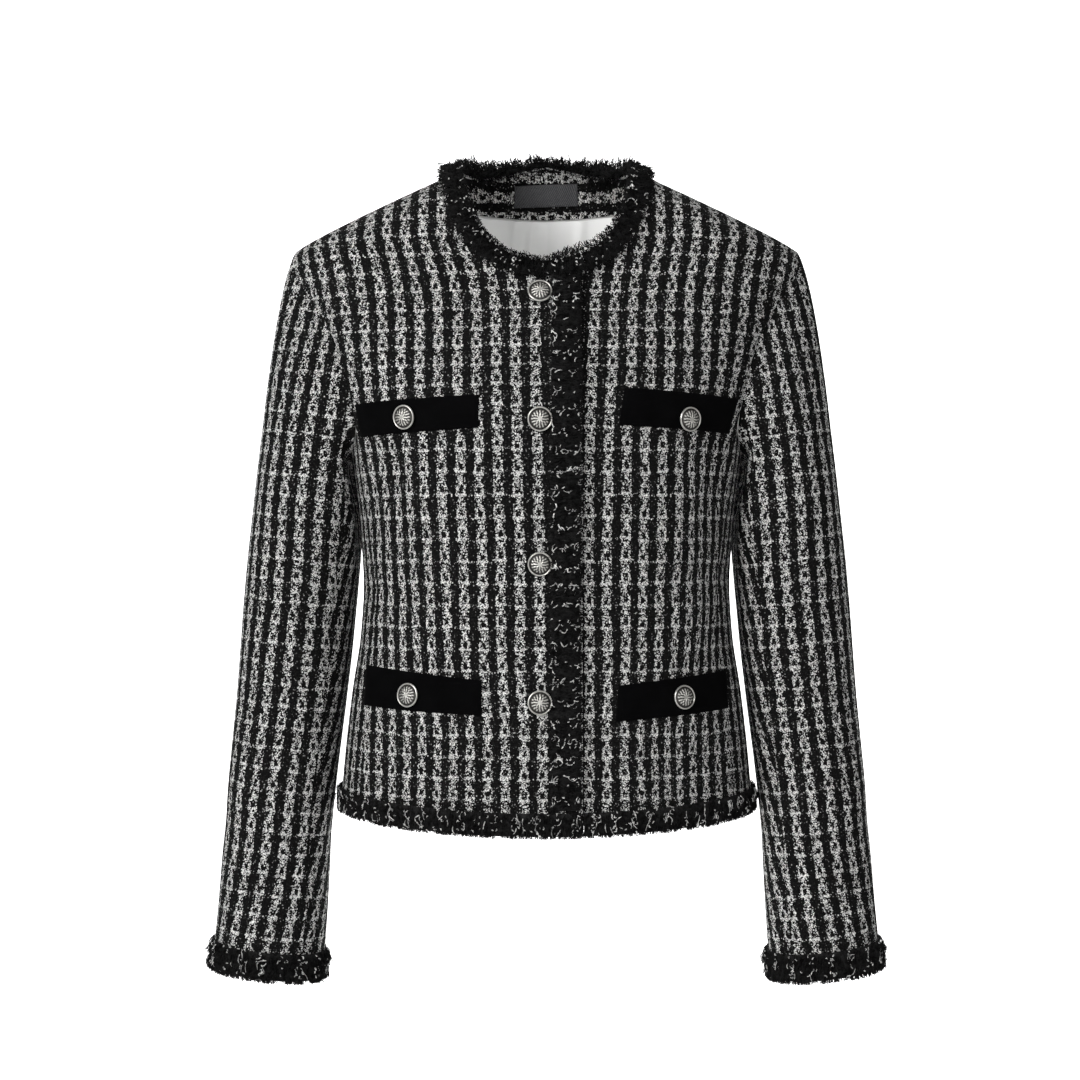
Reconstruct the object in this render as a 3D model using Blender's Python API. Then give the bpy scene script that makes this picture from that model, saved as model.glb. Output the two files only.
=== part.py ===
"""Cropped collarless tweed jacket, filled out as when worn, with nobody in it.

Units are metres, +Z is up, the wearer faces -Y, and +X is the wearer's left.
The origin is the middle of the neck opening, level with the wearer's shoulders.
Every cloth piece is a thin closed wall on one smooth body form or sleeve form.
"""
import math
from collections import namedtuple

import bpy
import numpy as np
from mathutils import Vector
from mathutils.bvhtree import BVHTree

# ---------------------------------------------------------------- cloth
WALL = 0.0020               # tweed wall
SEAM_EASE = 0.00017         # each piece stops this short of a seam line
LAY_GAP = 0.0008            # clearance under a piece that lies on a panel
LAY_CLEAR = 0.0006          # least clearance between its points
LAY_REACH = 0.0150          # how far from the form a cloth face is looked for
LAY_ROUNDS = 5
LAY_SAMPLES = (0.0, 0.17, 0.33, 0.5, 0.67, 0.83, 1.0)
BAND_THICK = 0.0015         # velvet pocket band
SKIN_THICK = 0.0010         # lining, facing and label

# ---------------------------------------------------------------- front closure
LAP_EDGE = 0.0265           # edge of the right front, past the centre front
UNDERLAP_EDGE = 0.0180      # edge of the left front, past the centre front
LAP_RISE = 0.0018           # the upper front stands this far off the body form
LAP_DROP = 0.0018           # the lower front lies this far inside it
LAP_RISE_BAND = (-0.060, -0.022)    # x between which the upper front rises
LAP_DROP_BAND = (0.030, 0.070)      # x between which the lower front comes back to the form
BUTTON_LINE = -0.0052       # x of the front buttons

# ---------------------------------------------------------------- edges
HEM_FRONT = -0.4990
HEM_SIDE = -0.4910
HEM_BACK = -0.4950
HEM_HALF_WIDTH = 0.1640
NECK_HALF_WIDTH = 0.0660
NECK_FRONT_HEIGHT = -0.0800
NECK_BACK_DEPTH = 0.0640     # plan of the back neckline, behind the shoulder seam
NECK_BACK_SQUARENESS = 2.1
NECK_SQUARENESS = 2.3
DENSE = 300                 # points of a line before it is divided evenly

BodyLevel = namedtuple("BodyLevel", "height half_width front_depth back_depth squareness")
BODY_LEVELS = (
    BodyLevel(-0.5200, 0.1665, 0.1165, 0.1165, 2.20),
    BodyLevel(-0.4950, 0.1640, 0.1155, 0.1150, 2.20),
    BodyLevel(-0.4550, 0.1605, 0.1130, 0.1120, 2.22),
    BodyLevel(-0.4070, 0.1550, 0.1090, 0.1050, 2.25),
    BodyLevel(-0.3590, 0.1480, 0.1055, 0.0950, 2.28),
    BodyLevel(-0.3230, 0.1460, 0.1060, 0.0925, 2.30),
    BodyLevel(-0.2800, 0.1485, 0.1130, 0.0965, 2.34),
    BodyLevel(-0.2250, 0.1555, 0.1250, 0.1040, 2.40),
    BodyLevel(-0.1900, 0.1620, 0.1265, 0.1075, 2.40),
    BodyLevel(-0.1470, 0.1720, 0.1190, 0.1100, 2.38),
    BodyLevel(-0.1150, 0.1880, 0.1080, 0.1110, 2.32),
    BodyLevel(-0.0820, 0.2130, 0.0940, 0.1080, 2.25),
    BodyLevel(-0.0500, 0.2400, 0.0825, 0.1000, 2.20),
    BodyLevel(-0.0200, 0.2600, 0.0740, 0.0900, 2.20),
    BodyLevel(0.0200, 0.2800, 0.0660, 0.0760, 2.20),
    BodyLevel(0.0400, 0.2850, 0.0630, 0.0700, 2.20),
)
SHOULDER_HALF_WIDTH = 0.1970
RIDGE_HEIGHT = 0.0415       # where the two shoulder slopes would meet over the neck
RIDGE_SLOPE = 0.4600        # fall of the shoulder seam for each metre outward
RIDGE_ROUND = 0.0330        # the slopes meet over the neck in a curve this wide
ARCH_AT_NECK = 0.2000       # radius of the shoulder from front to back
ARCH_AT_TIP = 0.0620
NAPE_LIFT = 0.2400          # rise of the shoulders towards the back of the neck
SHOULDER_BLEND = 0.0180     # softness between the shoulder and the walls
BODY_SCALE = 0.1100         # turns the walls' reach into metres
ROOF_SCALE = 0.8500         # turns a height over the shoulders into a reach
SETTLE_STEP = 0.0100        # longest move of a point in one round of settling
RAY_REACH = 0.4000          # every ray from inside leaves the body form within this
RIDGE_START = -0.0750       # a height that lies inside the body under the whole shoulder seam

ArmholeRow = namedtuple("ArmholeRow", "height front back")
ARMHOLE = (                 # side view, from the shoulder tip to the underarm
    ArmholeRow(-0.0560, 0.0000, 0.0000),
    ArmholeRow(-0.0600, -0.0150, 0.0180),
    ArmholeRow(-0.0700, -0.0270, 0.0320),
    ArmholeRow(-0.0870, -0.0370, 0.0430),
    ArmholeRow(-0.1080, -0.0445, 0.0510),
    ArmholeRow(-0.1320, -0.0505, 0.0560),
    ArmholeRow(-0.1560, -0.0560, 0.0590),
    ArmholeRow(-0.1800, -0.0600, 0.0600),
    ArmholeRow(-0.2000, -0.0580, 0.0560),
    ArmholeRow(-0.2140, -0.0465, 0.0450),
    ArmholeRow(-0.2220, -0.0280, 0.0280),
    ArmholeRow(-0.2250, 0.0000, 0.0000),
)
SIDE_SEAM_FOOT = 0.1500     # about x of the side seams at the hem
SIDE_SEAM_TOP = -0.2000     # the side seams run into the armhole here
TIP_EASE = 0.0500           # the armhole meets the shoulder tip over this length
SEAM_TOP_EASE = 0.0500      # a side seam meets the armhole over this height
HEM_END_EASE = 0.0300       # a hem meets the side seam over this width

SideSeamRow = namedtuple("SideSeamRow", "height front back")
SIDE_SEAMS = (              # side view of the two side seams
    SideSeamRow(-0.5200, -0.0600, 0.0600),
    SideSeamRow(-0.4400, -0.0580, 0.0580),
    SideSeamRow(-0.3300, -0.0520, 0.0520),
    SideSeamRow(-0.2500, -0.0560, 0.0540),
    SideSeamRow(-0.2000, -0.0580, 0.0560),
)

# ---------------------------------------------------------------- sleeve
SleeveLevel = namedtuple("SleeveLevel", "height centre_x centre_y half_width half_depth")
SLEEVE_LEVELS = (
    SleeveLevel(-0.2620, 0.1870, 0.0000, 0.0460, 0.0600),
    SleeveLevel(-0.3230, 0.1945, -0.0010, 0.0450, 0.0555),
    SleeveLevel(-0.4070, 0.2015, -0.0030, 0.0442, 0.0515),
    SleeveLevel(-0.5030, 0.2110, -0.0110, 0.0428, 0.0455),
    SleeveLevel(-0.5700, 0.2150, -0.0180, 0.0430, 0.0410),
    SleeveLevel(-0.6140, 0.2182, -0.0230, 0.0434, 0.0390),
)
SLEEVE_LEAN = 0.1200        # the sleeve's outward lean, which tilts its rings
SLEEVE_SQUARENESS = 2.15
ARM_CLEARANCE = 0.0034      # sleeve's outer face to the body's outer face
ARM_BLEND = 0.0040          # softness where the sleeve is held off the body
CAP_BLEND = 0.0020          # the same on the sleeve cap
BODY_DEPTH_LIMIT = 0.1150   # beyond this depth no body stands beside the sleeve
ARM_RING_STEP = 0.0300      # the sleeve's run is taken between rings this far apart
CAP_HIGH_BAND = (-0.170, -0.062)    # heights between which the cap turns from side to top
CAP_CLEAR_BAND = (0.150, 0.215)     # drops between which the cap is held off the body
CAP_MITRE_BAND = (0.170, 0.205)     # drops between which its inner edge is mitred
CAP_LEAVE_LOW = (1.0, 0.0, -0.35)   # how the cap leaves the armhole at the underarm
CAP_LEAVE_HIGH = (0.30, 0.0, -1.0)  # and at the shoulder tip
CAP_LEAVE_SEAM = 0.25               # share of the direction square to the armhole
CAP_SPREAD = 7.0                    # outward turn to front and back, for each metre
CAP_FULLNESS_LOW = 0.85             # pull of the cap at its start against its length
CAP_FULLNESS_HIGH = 0.52
CAP_START_LIMITS = (0.030, 0.150)
CAP_END_FULLNESS = 1.1
CAP_END_LIMITS = (0.040, 0.200)
CAP_ROW_BIAS = 1.15                 # the cap's rows stand closer near the armhole

# ---------------------------------------------------------------- grid sizes
FRONT_NECK_COLUMNS = 7
SHOULDER_COLUMNS = 6
BACK_NECK_COLUMNS = 4
SEAM_ROWS = 9
ARMHOLE_ROWS = 10
UNDERARM_COLUMNS = 4        # on each side of the underarm point
CAP_ROWS = 5
RELAX_ROUNDS = 2
FRONT_BREAK_HEIGHT = -0.2150    # rows change from seam spacing to armhole spacing here
BACK_BREAK_HEIGHT = -0.2050
FRONT_BREAK_X = 0.0780      # columns change from neck spacing to shoulder spacing here
SLEEVE_ROWS = 8

# ---------------------------------------------------------------- trims
BUTTON_RADIUS = 0.0092
PocketBand = namedtuple("PocketBand", "name inner_top inner_bottom outer_top outer_bottom button")
POCKET_BANDS = (            # corners and button as (x, z) seen from the front
    PocketBand("upper_right", (-0.0500, -0.1803), (-0.0505, -0.2046),
               (-0.1455, -0.1835), (-0.1425, -0.2085), (-0.1042, -0.1955)),
    PocketBand("upper_left", (0.0570, -0.1751), (0.0530, -0.2024),
               (0.1450, -0.1795), (0.1400, -0.2065), (0.1042, -0.1970)),
    PocketBand("lower_right", (-0.0483, -0.3917), (-0.0490, -0.4177),
               (-0.1385, -0.3833), (-0.1400, -0.4141), (-0.1026, -0.4040)),
    PocketBand("lower_left", (0.0534, -0.3954), (0.0512, -0.4221),
               (0.1375, -0.3872), (0.1390, -0.4164), (0.1012, -0.4055)),
)
FRONT_BUTTON_HEIGHTS = (-0.1034, -0.1984, -0.3041, -0.4078)

FRINGE_THICK = 0.0013
FRINGE_STRIP = 0.0060       # width of the woven strip that holds the fringe
HEM_LOCKS = 84
NECK_LOCKS = 38
CUFF_LOCKS = 23
PLACKET_LOCKS = 34          # on each side of the strip
LOCK_TAPER = 0.55           # a lock's tip against its root
LOCK_UNEVEN = 0.0012        # how much the hem and cuff locks differ in length
HEM_SWAY = 0.0012           # and how far the hem locks swing along the hem
HEM_FLARE = 0.0010
NECK_UNEVEN = 0.0010
PLACKET_DROP = 0.0015       # the placket's locks hang this far down
PLACKET_SWAY = 0.0008
PLACKET_UNEVEN = 0.0006
HEM_STRIP_RISE = 0.0025     # the strip's lower edge above the cloth's edge
HEM_REACH = 0.0108
HEM_FRONT_DEPTH = 0.1130
HEM_TRIM_START = 0.0240     # the hem fringe begins at the lap's edge
HEM_TRIM_END = 0.0300       # and ends beside it, on the left front
NECK_TRIM_START = 0.0205    # the neck fringe begins at the lap's edge
NECK_TRIM_END = 0.0350      # and ends beside it, on the left front
NECK_STRIP_DROP = 0.0060
NECK_REACH_FRONT = 0.0120
NECK_REACH_BACK = 0.0195
NECK_BACK_BAND = (-0.070, -0.010)   # depths between which the locks grow longer
NECK_CENTRE = (0.0, -0.012, -0.060)  # the neck fringe runs round this point
NECK_LIFT = 0.2200          # how far the locks stand up off the cloth
NECK_FLUFF_SPREAD = 0.0340  # over the shoulders the locks stand up further, in turn
NECK_FLUFF_ODD = 2.6000
NECK_FLUFF_EVEN = 0.6000
PLACKET_MIDDLE = 0.0135
PLACKET_TOP = -0.0975
PLACKET_BOTTOM = -0.4850
PLACKET_REACH = 0.0092
PLACKET_INNER_REACH = 0.0056
CUFF_STRIP_RISE = 0.0030
CUFF_REACH = 0.0130
CUFF_FLARE = 0.0022
BAND_COLUMNS = 7
BAND_ROWS = 2
BUTTON_SIDES = 12

# ---------------------------------------------------------------- inside of the back
FACING_LOW_HALF = 0.0850
FACING_BOTTOM = -0.0160
FACING_INSET = 0.0060       # its outer corners stop this far under the shoulder seam
FACING_RISE = 0.95          # share of the way up to the neckline
FACING_BEND = 2.0           # how its lower edge rises to the sides: 1 is straight, more is later
FACING_COLUMNS = 12
FACING_ROWS = 3
LiningWidth = namedtuple("LiningWidth", "height half_width")
LINING_WIDTHS = (
    LiningWidth(-0.480, 0.132),
    LiningWidth(-0.330, 0.116),
    LiningWidth(-0.200, 0.122),
    LiningWidth(-0.110, 0.128),
    LiningWidth(-0.018, 0.085),
)
LINING_COLUMNS = (-1.0, -0.78, -0.55, -0.30, -0.10, 0.0, 0.10, 0.30, 0.55, 0.78, 1.0)
LINING_ROWS = 12
LINING_BOTTOM = -0.4770
LINING_GAP = 0.0025         # between its top edge and the facing
LINING_CURVE_START = -0.0900    # above this its rows follow the facing's lower edge
PLEAT_RISE = 0.0025
PLEAT_SPREAD = 0.0090
LABEL_HALF_WIDTH = 0.0272
LABEL_BOTTOM = -0.0052
LABEL_TOP = 0.0124
LABEL_TILT = 0.0330         # its right-hand end, seen from the front, is sewn this much higher
LABEL_COLUMNS = 4

Finish = namedtuple("Finish", "name colour roughness metallic")
TWEED = Finish("tweed", (0.10, 0.10, 0.10, 1.0), 0.95, 0.0)
FRINGE = Finish("fringe_yarn", (0.025, 0.025, 0.025, 1.0), 0.95, 0.0)
VELVET = Finish("black_velvet", (0.006, 0.006, 0.006, 1.0), 1.0, 0.0)
SATIN = Finish("lining_satin", (0.78, 0.78, 0.77, 1.0), 0.35, 0.0)
LABEL_CLOTH = Finish("label_cloth", (0.03, 0.03, 0.03, 1.0), 0.6, 0.0)
OLD_SILVER = Finish("antique_silver", (0.42, 0.41, 0.39, 1.0), 0.35, 1.0)


# ================================================================ curves
class SmoothCurve:
    """A monotone cubic through (knot, value) pairs, for arrays of knots."""

    def __init__(self, knots, values):
        order = np.argsort(knots)
        self.knots = np.asarray(knots, float)[order]
        self.values = np.asarray(values, float)[order]
        steps = np.diff(self.knots)
        secants = np.diff(self.values) / steps
        slopes = np.zeros_like(self.values)
        slopes[0] = secants[0]
        slopes[-1] = secants[-1]
        for i in range(1, len(slopes) - 1):
            if secants[i - 1] * secants[i] > 0.0:
                before = 2.0 * steps[i] + steps[i - 1]
                after = steps[i] + 2.0 * steps[i - 1]
                slopes[i] = (before + after) / (before / secants[i - 1] + after / secants[i])
        self.slopes = slopes

    def __call__(self, where):
        where = np.clip(where, self.knots[0], self.knots[-1])
        index = np.clip(np.searchsorted(self.knots, where) - 1, 0, len(self.knots) - 2)
        width = self.knots[index + 1] - self.knots[index]
        t = (where - self.knots[index]) / width
        start = (1.0 + 2.0 * t) * (1.0 - t) ** 2 * self.values[index]
        end = t * t * (3.0 - 2.0 * t) * self.values[index + 1]
        lead = t * (1.0 - t) ** 2 * width * self.slopes[index]
        trail = t * t * (t - 1.0) * width * self.slopes[index + 1]
        return start + end + lead + trail


def column(rows, name, knot="height"):
    """A smooth curve of one named column of a table against another."""
    return SmoothCurve([getattr(row, knot) for row in rows], [getattr(row, name) for row in rows])


def smooth_step(value, start, end):
    """0 before start, 1 after end, eased between."""
    t = np.clip((value - start) / (end - start), 0.0, 1.0)
    return t * t * (3.0 - 2.0 * t)


def unit(vectors):
    """Vectors scaled to length 1."""
    return vectors / np.maximum(np.linalg.norm(vectors, axis=-1, keepdims=True), 1e-12)


def even_points(points, count):
    """count + 1 points at even arc length along a dense polyline."""
    lengths = np.concatenate([[0.0], np.cumsum(np.linalg.norm(np.diff(points, axis=0), axis=1))])
    stations = np.linspace(0.0, lengths[-1], count + 1)
    return np.stack([np.interp(stations, lengths, points[:, k]) for k in range(3)], axis=1)


# ================================================================ body form
HALF_WIDTH = column(BODY_LEVELS, "half_width")
FRONT_DEPTH = column(BODY_LEVELS, "front_depth")
BACK_DEPTH = column(BODY_LEVELS, "back_depth")
SQUARENESS = column(BODY_LEVELS, "squareness")


def shoulder_roof(x, y):
    """Height of the shoulders over a point of the plan."""
    share = np.clip(np.abs(x) / SHOULDER_HALF_WIDTH, 0.0, 1.1)
    radius = ARCH_AT_NECK + (ARCH_AT_TIP - ARCH_AT_NECK) * share
    nape = NAPE_LIFT * np.maximum(y, 0.0) * np.clip(1.0 - share, 0.0, 1.0) ** 2
    return RIDGE_HEIGHT - RIDGE_SLOPE * np.hypot(x, RIDGE_ROUND) - y * y / (2.0 * radius) + nape


def body_reach(points):
    """0 on the body form, less inside it and more outside, in about metres."""
    x, y, z = points[..., 0], points[..., 1], points[..., 2]
    power = SQUARENESS(z)
    depth = np.where(y < 0.0, FRONT_DEPTH(z), BACK_DEPTH(z))
    across = (np.abs(x) / HALF_WIDTH(z)) ** power
    along = (np.abs(y) / depth) ** power
    wall = ((across + along) ** (1.0 / power) - 1.0) * BODY_SCALE
    roof = (z - shoulder_roof(x, y)) * ROOF_SCALE
    return 0.5 * (wall + roof + np.sqrt((wall - roof) ** 2 + SHOULDER_BLEND ** 2))


def reach_slope(points):
    """Gradient of body_reach, by central differences."""
    step = 1.0e-5
    slopes = []
    for axis in range(3):
        shift = np.zeros(3)
        shift[axis] = step
        slopes.append((body_reach(points + shift) - body_reach(points - shift)) / (2.0 * step))
    return np.stack(slopes, axis=-1)


def body_normals(points):
    """Outward directions of the body form at points on it."""
    return unit(reach_slope(points))


def settle(points, rounds=25):
    """Points moved onto the body form, each along the form's own normal."""
    points = np.array(points, float)
    for _ in range(rounds):
        slope = reach_slope(points)
        size = np.sum(slope * slope, axis=-1, keepdims=True)
        move = -body_reach(points)[..., None] * slope / size
        length = np.linalg.norm(move, axis=-1, keepdims=True)
        points += move * np.minimum(1.0, SETTLE_STEP / np.maximum(length, 1e-12))
    return points


def cast(starts, direction):
    """Points of the body form met by rays from inside it."""
    direction = np.asarray(direction, float)
    near = np.zeros(starts.shape[:-1])
    far = np.full(starts.shape[:-1], RAY_REACH)
    for _ in range(40):
        middle = 0.5 * (near + far)
        inside = body_reach(starts + middle[..., None] * direction) < 0.0
        near = np.where(inside, middle, near)
        far = np.where(inside, far, middle)
    return starts + near[..., None] * direction


def ray_starts(x, y, z):
    """Three coordinate arrays as points."""
    return np.stack(np.broadcast_arrays(*(np.asarray(v, float) for v in (x, y, z))), axis=-1)


def side_x(y, z):
    """x of the body form at a side-view point."""
    return cast(ray_starts(0.0, y, z), (1.0, 0.0, 0.0))[..., 0]


def front_point(x, z):
    """Point of the body form's front, seen at (x, z)."""
    return cast(ray_starts(x, 0.0, z), (0.0, -1.0, 0.0))


def back_point(x, z):
    """Point of the body form's back, seen at (x, z)."""
    return cast(ray_starts(x, 0.0, z), (0.0, 1.0, 0.0))


def ridge_point(x):
    """Point of the shoulder seam line over x."""
    return cast(ray_starts(x, 0.0, RIDGE_START), (0.0, 0.0, 1.0))


# ================================================================ edge lines (wearer's left half)
def hem_height(x, middle):
    """The hem rises from its middle to the sides."""
    share = np.clip(np.abs(x) / HEM_HALF_WIDTH, 0.0, 1.0) ** 2
    return middle + (HEM_SIDE - middle) * share


def neckline_height(x):
    """Height of the front neckline over x, from its middle to the neck point."""
    top = float(ridge_point(NECK_HALF_WIDTH)[2])
    share = np.clip(np.abs(x) / NECK_HALF_WIDTH, 0.0, 1.0) ** NECK_SQUARENESS
    return top - (top - NECK_FRONT_HEIGHT) * (1.0 - share) ** (1.0 / NECK_SQUARENESS)


def front_neckline(start_x, count):
    """Front neckline from start_x past the middle (negative is past it) to the neck point."""
    begin = math.asin(np.clip(start_x / NECK_HALF_WIDTH, -1.0, 1.0))
    x = NECK_HALF_WIDTH * np.sin(np.linspace(begin, math.pi / 2.0, DENSE))
    points = front_point(x, neckline_height(x))
    points[-1] = ridge_point(NECK_HALF_WIDTH)
    return even_points(points, count)


def back_neckline(count):
    """Back neckline from the centre back to the neck point."""
    turn = np.linspace(0.0, math.pi / 2.0, DENSE)
    power = 2.0 / NECK_BACK_SQUARENESS
    x = NECK_HALF_WIDTH * np.sin(turn) ** power
    y = NECK_BACK_DEPTH * np.cos(turn) ** power
    points = cast(ray_starts(x, y, RIDGE_START), (0.0, 0.0, 1.0))
    points[-1] = ridge_point(NECK_HALF_WIDTH)
    return even_points(points, count)


def shoulder_seam(count):
    """Shoulder seam from the neck point to the shoulder tip."""
    x = np.linspace(NECK_HALF_WIDTH, SHOULDER_HALF_WIDTH, DENSE)
    return even_points(ridge_point(x), count)


def armhole_side(name):
    """Dense half of the armhole from the shoulder tip to the underarm."""
    heights = np.array([row.height for row in ARMHOLE])
    depths = np.array([getattr(row, name) for row in ARMHOLE])
    lengths = np.concatenate([[0.0], np.cumsum(np.hypot(np.diff(heights), np.diff(depths)))])
    where = np.linspace(0.0, lengths[-1], DENSE)
    z = SmoothCurve(lengths, heights)(where)
    y = SmoothCurve(lengths, depths)(where)
    tip = ridge_point(SHOULDER_HALF_WIDTH)
    z += (tip[2] - z[0]) * (1.0 - smooth_step(where, 0.0, TIP_EASE))
    points = np.stack([side_x(y, z), y, z], axis=-1)
    points[0] = tip
    return points


def armhole_parts(name):
    """The armhole half as (side seam to shoulder tip, underarm to side seam)."""
    dense = armhole_side(name)
    split = int(np.argmin(np.abs(dense[:, 2] - SIDE_SEAM_TOP)))
    upper = even_points(dense[:split + 1][::-1], ARMHOLE_ROWS)
    lower = even_points(dense[split:][::-1], UNDERARM_COLUMNS)
    return upper, lower


def side_seam(name, middle_hem, top_point):
    """Side seam from the hem up to the armhole."""
    line = column(SIDE_SEAMS, name)
    low = hem_height(SIDE_SEAM_FOOT, middle_hem)
    z = np.linspace(low, top_point[2], DENSE)
    y = line(z)
    y = y + (top_point[1] - y[-1]) * smooth_step(z, z[-1] - SEAM_TOP_EASE, z[-1])
    points = np.stack([side_x(y, z), y, z], axis=-1)
    points[-1] = top_point
    return even_points(points, SEAM_ROWS)


def hem_line(start, end, middle_hem, count, front):
    """Hem from a start x to the end point of the side seam."""
    place = front_point if front else back_point
    x = end[0] + (start - end[0]) * np.cos(np.linspace(0.0, math.pi / 2.0, DENSE))
    points = place(x, hem_height(x, middle_hem))
    points[:, 2] += (end[2] - points[-1, 2]) * smooth_step(x, end[0] - HEM_END_EASE, end[0])
    points[-1] = end
    return even_points(points, count)


# ================================================================ panels
def coons_patch(bottom, top, left, right):
    """Grid between four edge lines; rows run left to right, and go up."""
    rows, columns = len(left), len(bottom)
    v = np.linspace(0.0, 1.0, rows)[:, None, None]
    u = np.linspace(0.0, 1.0, columns)[None, :, None]
    ruled = (1 - v) * bottom[None] + v * top[None] + (1 - u) * left[:, None] + u * right[:, None]
    corners = ((1 - u) * (1 - v) * bottom[0] + u * (1 - v) * bottom[-1]
               + (1 - u) * v * top[0] + u * v * top[-1])
    grid = ruled - corners
    for _ in range(RELAX_ROUNDS):
        grid = settle(grid, 3)
        grid[0], grid[-1], grid[:, 0], grid[:, -1] = bottom, top, left, right
        grid[1:-1, 1:-1] = smooth_inside(grid)
    grid[1:-1, 1:-1] = settle(grid[1:-1, 1:-1])
    return grid


def smooth_inside(grid):
    """Inner points of a grid moved towards even spacing, without folding at hollow edges."""
    east, west = grid[1:-1, 2:], grid[1:-1, :-2]
    north, south = grid[2:, 1:-1], grid[:-2, 1:-1]
    diagonal = grid[2:, 2:] - grid[2:, :-2] - grid[:-2, 2:] + grid[:-2, :-2]
    across = 0.5 * (east - west)
    up = 0.5 * (north - south)
    alpha = np.sum(up * up, axis=-1, keepdims=True)
    beta = np.sum(across * up, axis=-1, keepdims=True)
    gamma = np.sum(across * across, axis=-1, keepdims=True)
    total = alpha * (east + west) + gamma * (north + south) - 0.5 * beta * diagonal
    return total / (2.0 * (alpha + gamma))


def centre_heights(low, middle, high):
    """Row heights on a centre line, which match the rows of the side seam and the armhole."""
    return np.concatenate([np.linspace(low, middle, SEAM_ROWS + 1),
                           np.linspace(middle, high, ARMHOLE_ROWS + 1)[1:]])


def front_grid(edge_x):
    """Half of the front on the wearer's left, from edge_x (negative is past the middle)."""
    upper, _ = armhole_parts("front")
    seam = side_seam("front", HEM_FRONT, upper[0])
    top = np.concatenate([front_neckline(edge_x, FRONT_NECK_COLUMNS),
                          shoulder_seam(SHOULDER_COLUMNS)[1:]])
    turn = front_point(FRONT_BREAK_X, hem_height(FRONT_BREAK_X, HEM_FRONT))
    first = hem_line(edge_x, turn, HEM_FRONT, FRONT_NECK_COLUMNS, True)
    second = hem_line(FRONT_BREAK_X, seam[0], HEM_FRONT, SHOULDER_COLUMNS, True)
    bottom = np.concatenate([first, second[1:]])
    z = centre_heights(bottom[0, 2], FRONT_BREAK_HEIGHT, top[0, 2])
    left = front_point(np.full_like(z, edge_x), z)
    right = np.concatenate([seam, upper[1:]])
    return coons_patch(bottom, top, left, right)


def back_grid():
    """The whole back, from the wearer's right to the left."""
    upper, _ = armhole_parts("back")
    seam = side_seam("back", HEM_BACK, upper[0])
    top = np.concatenate([back_neckline(BACK_NECK_COLUMNS),
                          shoulder_seam(SHOULDER_COLUMNS)[1:]])
    bottom = hem_line(0.0, seam[0], HEM_BACK, BACK_NECK_COLUMNS + SHOULDER_COLUMNS, False)
    z = centre_heights(bottom[0, 2], BACK_BREAK_HEIGHT, top[0, 2])
    left = back_point(np.zeros_like(z), z)
    right = np.concatenate([seam, upper[1:]])
    half = coons_patch(bottom, top, left, right)
    other = mirrored(half)[:, ::-1]
    return np.concatenate([other[:, :-1], half], axis=1)


def side_grid():
    """The side body on the wearer's left, from the front seam to the back seam."""
    front_upper, front_lower = armhole_parts("front")
    back_upper, back_lower = armhole_parts("back")
    left = side_seam("front", HEM_FRONT, front_upper[0])
    right = side_seam("back", HEM_BACK, back_upper[0])
    top = np.concatenate([front_lower[::-1], back_lower[1:]])
    y = np.linspace(left[0, 1], right[0, 1], DENSE)
    share = np.linspace(0.0, 1.0, DENSE)
    z = left[0, 2] + (right[0, 2] - left[0, 2]) * share
    bottom = even_points(np.stack([side_x(y, z), y, z], axis=-1), len(top) - 1)
    bottom[0], bottom[-1] = left[0], right[0]
    return coons_patch(bottom, top, left, right)


def mirrored(points):
    """The same points on the wearer's other side."""
    return points * np.array([-1.0, 1.0, 1.0])


def lap_offset(points, side):
    """How far a front stands off the form near the closure; side is 1 for the lap."""
    if side > 0:
        return LAP_RISE * smooth_step(points[..., 0], *LAP_RISE_BAND)
    return -LAP_DROP * (1.0 - smooth_step(points[..., 0], *LAP_DROP_BAND))


def ease_edges(outer, inner):
    """Both faces drawn back a little from their four edges."""
    for face in (outer, inner):
        for edge, neighbour in ((0, 1), (-1, -2)):
            face[edge] += unit(face[neighbour] - face[edge]) * SEAM_EASE
            face[:, edge] += unit(face[:, neighbour] - face[:, edge]) * SEAM_EASE
    return outer, inner


def wall_faces(grid, thickness, offset=None):
    """Outer and inner faces of a cloth wall on the body form."""
    normals = body_normals(grid)
    if offset is None:
        offset = np.zeros(grid.shape[:2])
    outer = grid + normals * offset[..., None]
    return outer, outer - normals * thickness


# ================================================================ Blender objects
def finish_material(finish):
    """A Principled material for a finish, made once."""
    material = bpy.data.materials.get(finish.name)
    if material is None:
        material = bpy.data.materials.new(finish.name)
        material.use_nodes = True
        shader = material.node_tree.nodes["Principled BSDF"]
        shader.inputs["Base Color"].default_value = finish.colour
        shader.inputs["Roughness"].default_value = finish.roughness
        shader.inputs["Metallic"].default_value = finish.metallic
        material.diffuse_color = finish.colour
    return material


def signed_volume(vertices, faces):
    """Six times the volume inside faces, negative when they point in."""
    total = 0.0
    for face in faces:
        a = vertices[face[0]]
        for i in range(1, len(face) - 1):
            total += float(np.dot(a, np.cross(vertices[face[i]], vertices[face[i + 1]])))
    return total


def add_object(name, vertices, faces, finish):
    """A smooth-shaded object with its faces pointing out."""
    vertices = np.asarray(vertices, float)
    if signed_volume(vertices, faces) < 0.0:
        faces = [tuple(reversed(face)) for face in faces]
    mesh = bpy.data.meshes.new(name)
    mesh.from_pydata([tuple(map(float, v)) for v in vertices], [], faces)
    mesh.update()
    mesh.shade_smooth()
    mesh.set_sharp_from_angle(angle=math.radians(40.0))
    mesh.materials.append(finish_material(finish))
    piece = bpy.data.objects.new(name, mesh)
    bpy.context.scene.collection.objects.link(piece)
    return piece


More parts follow.
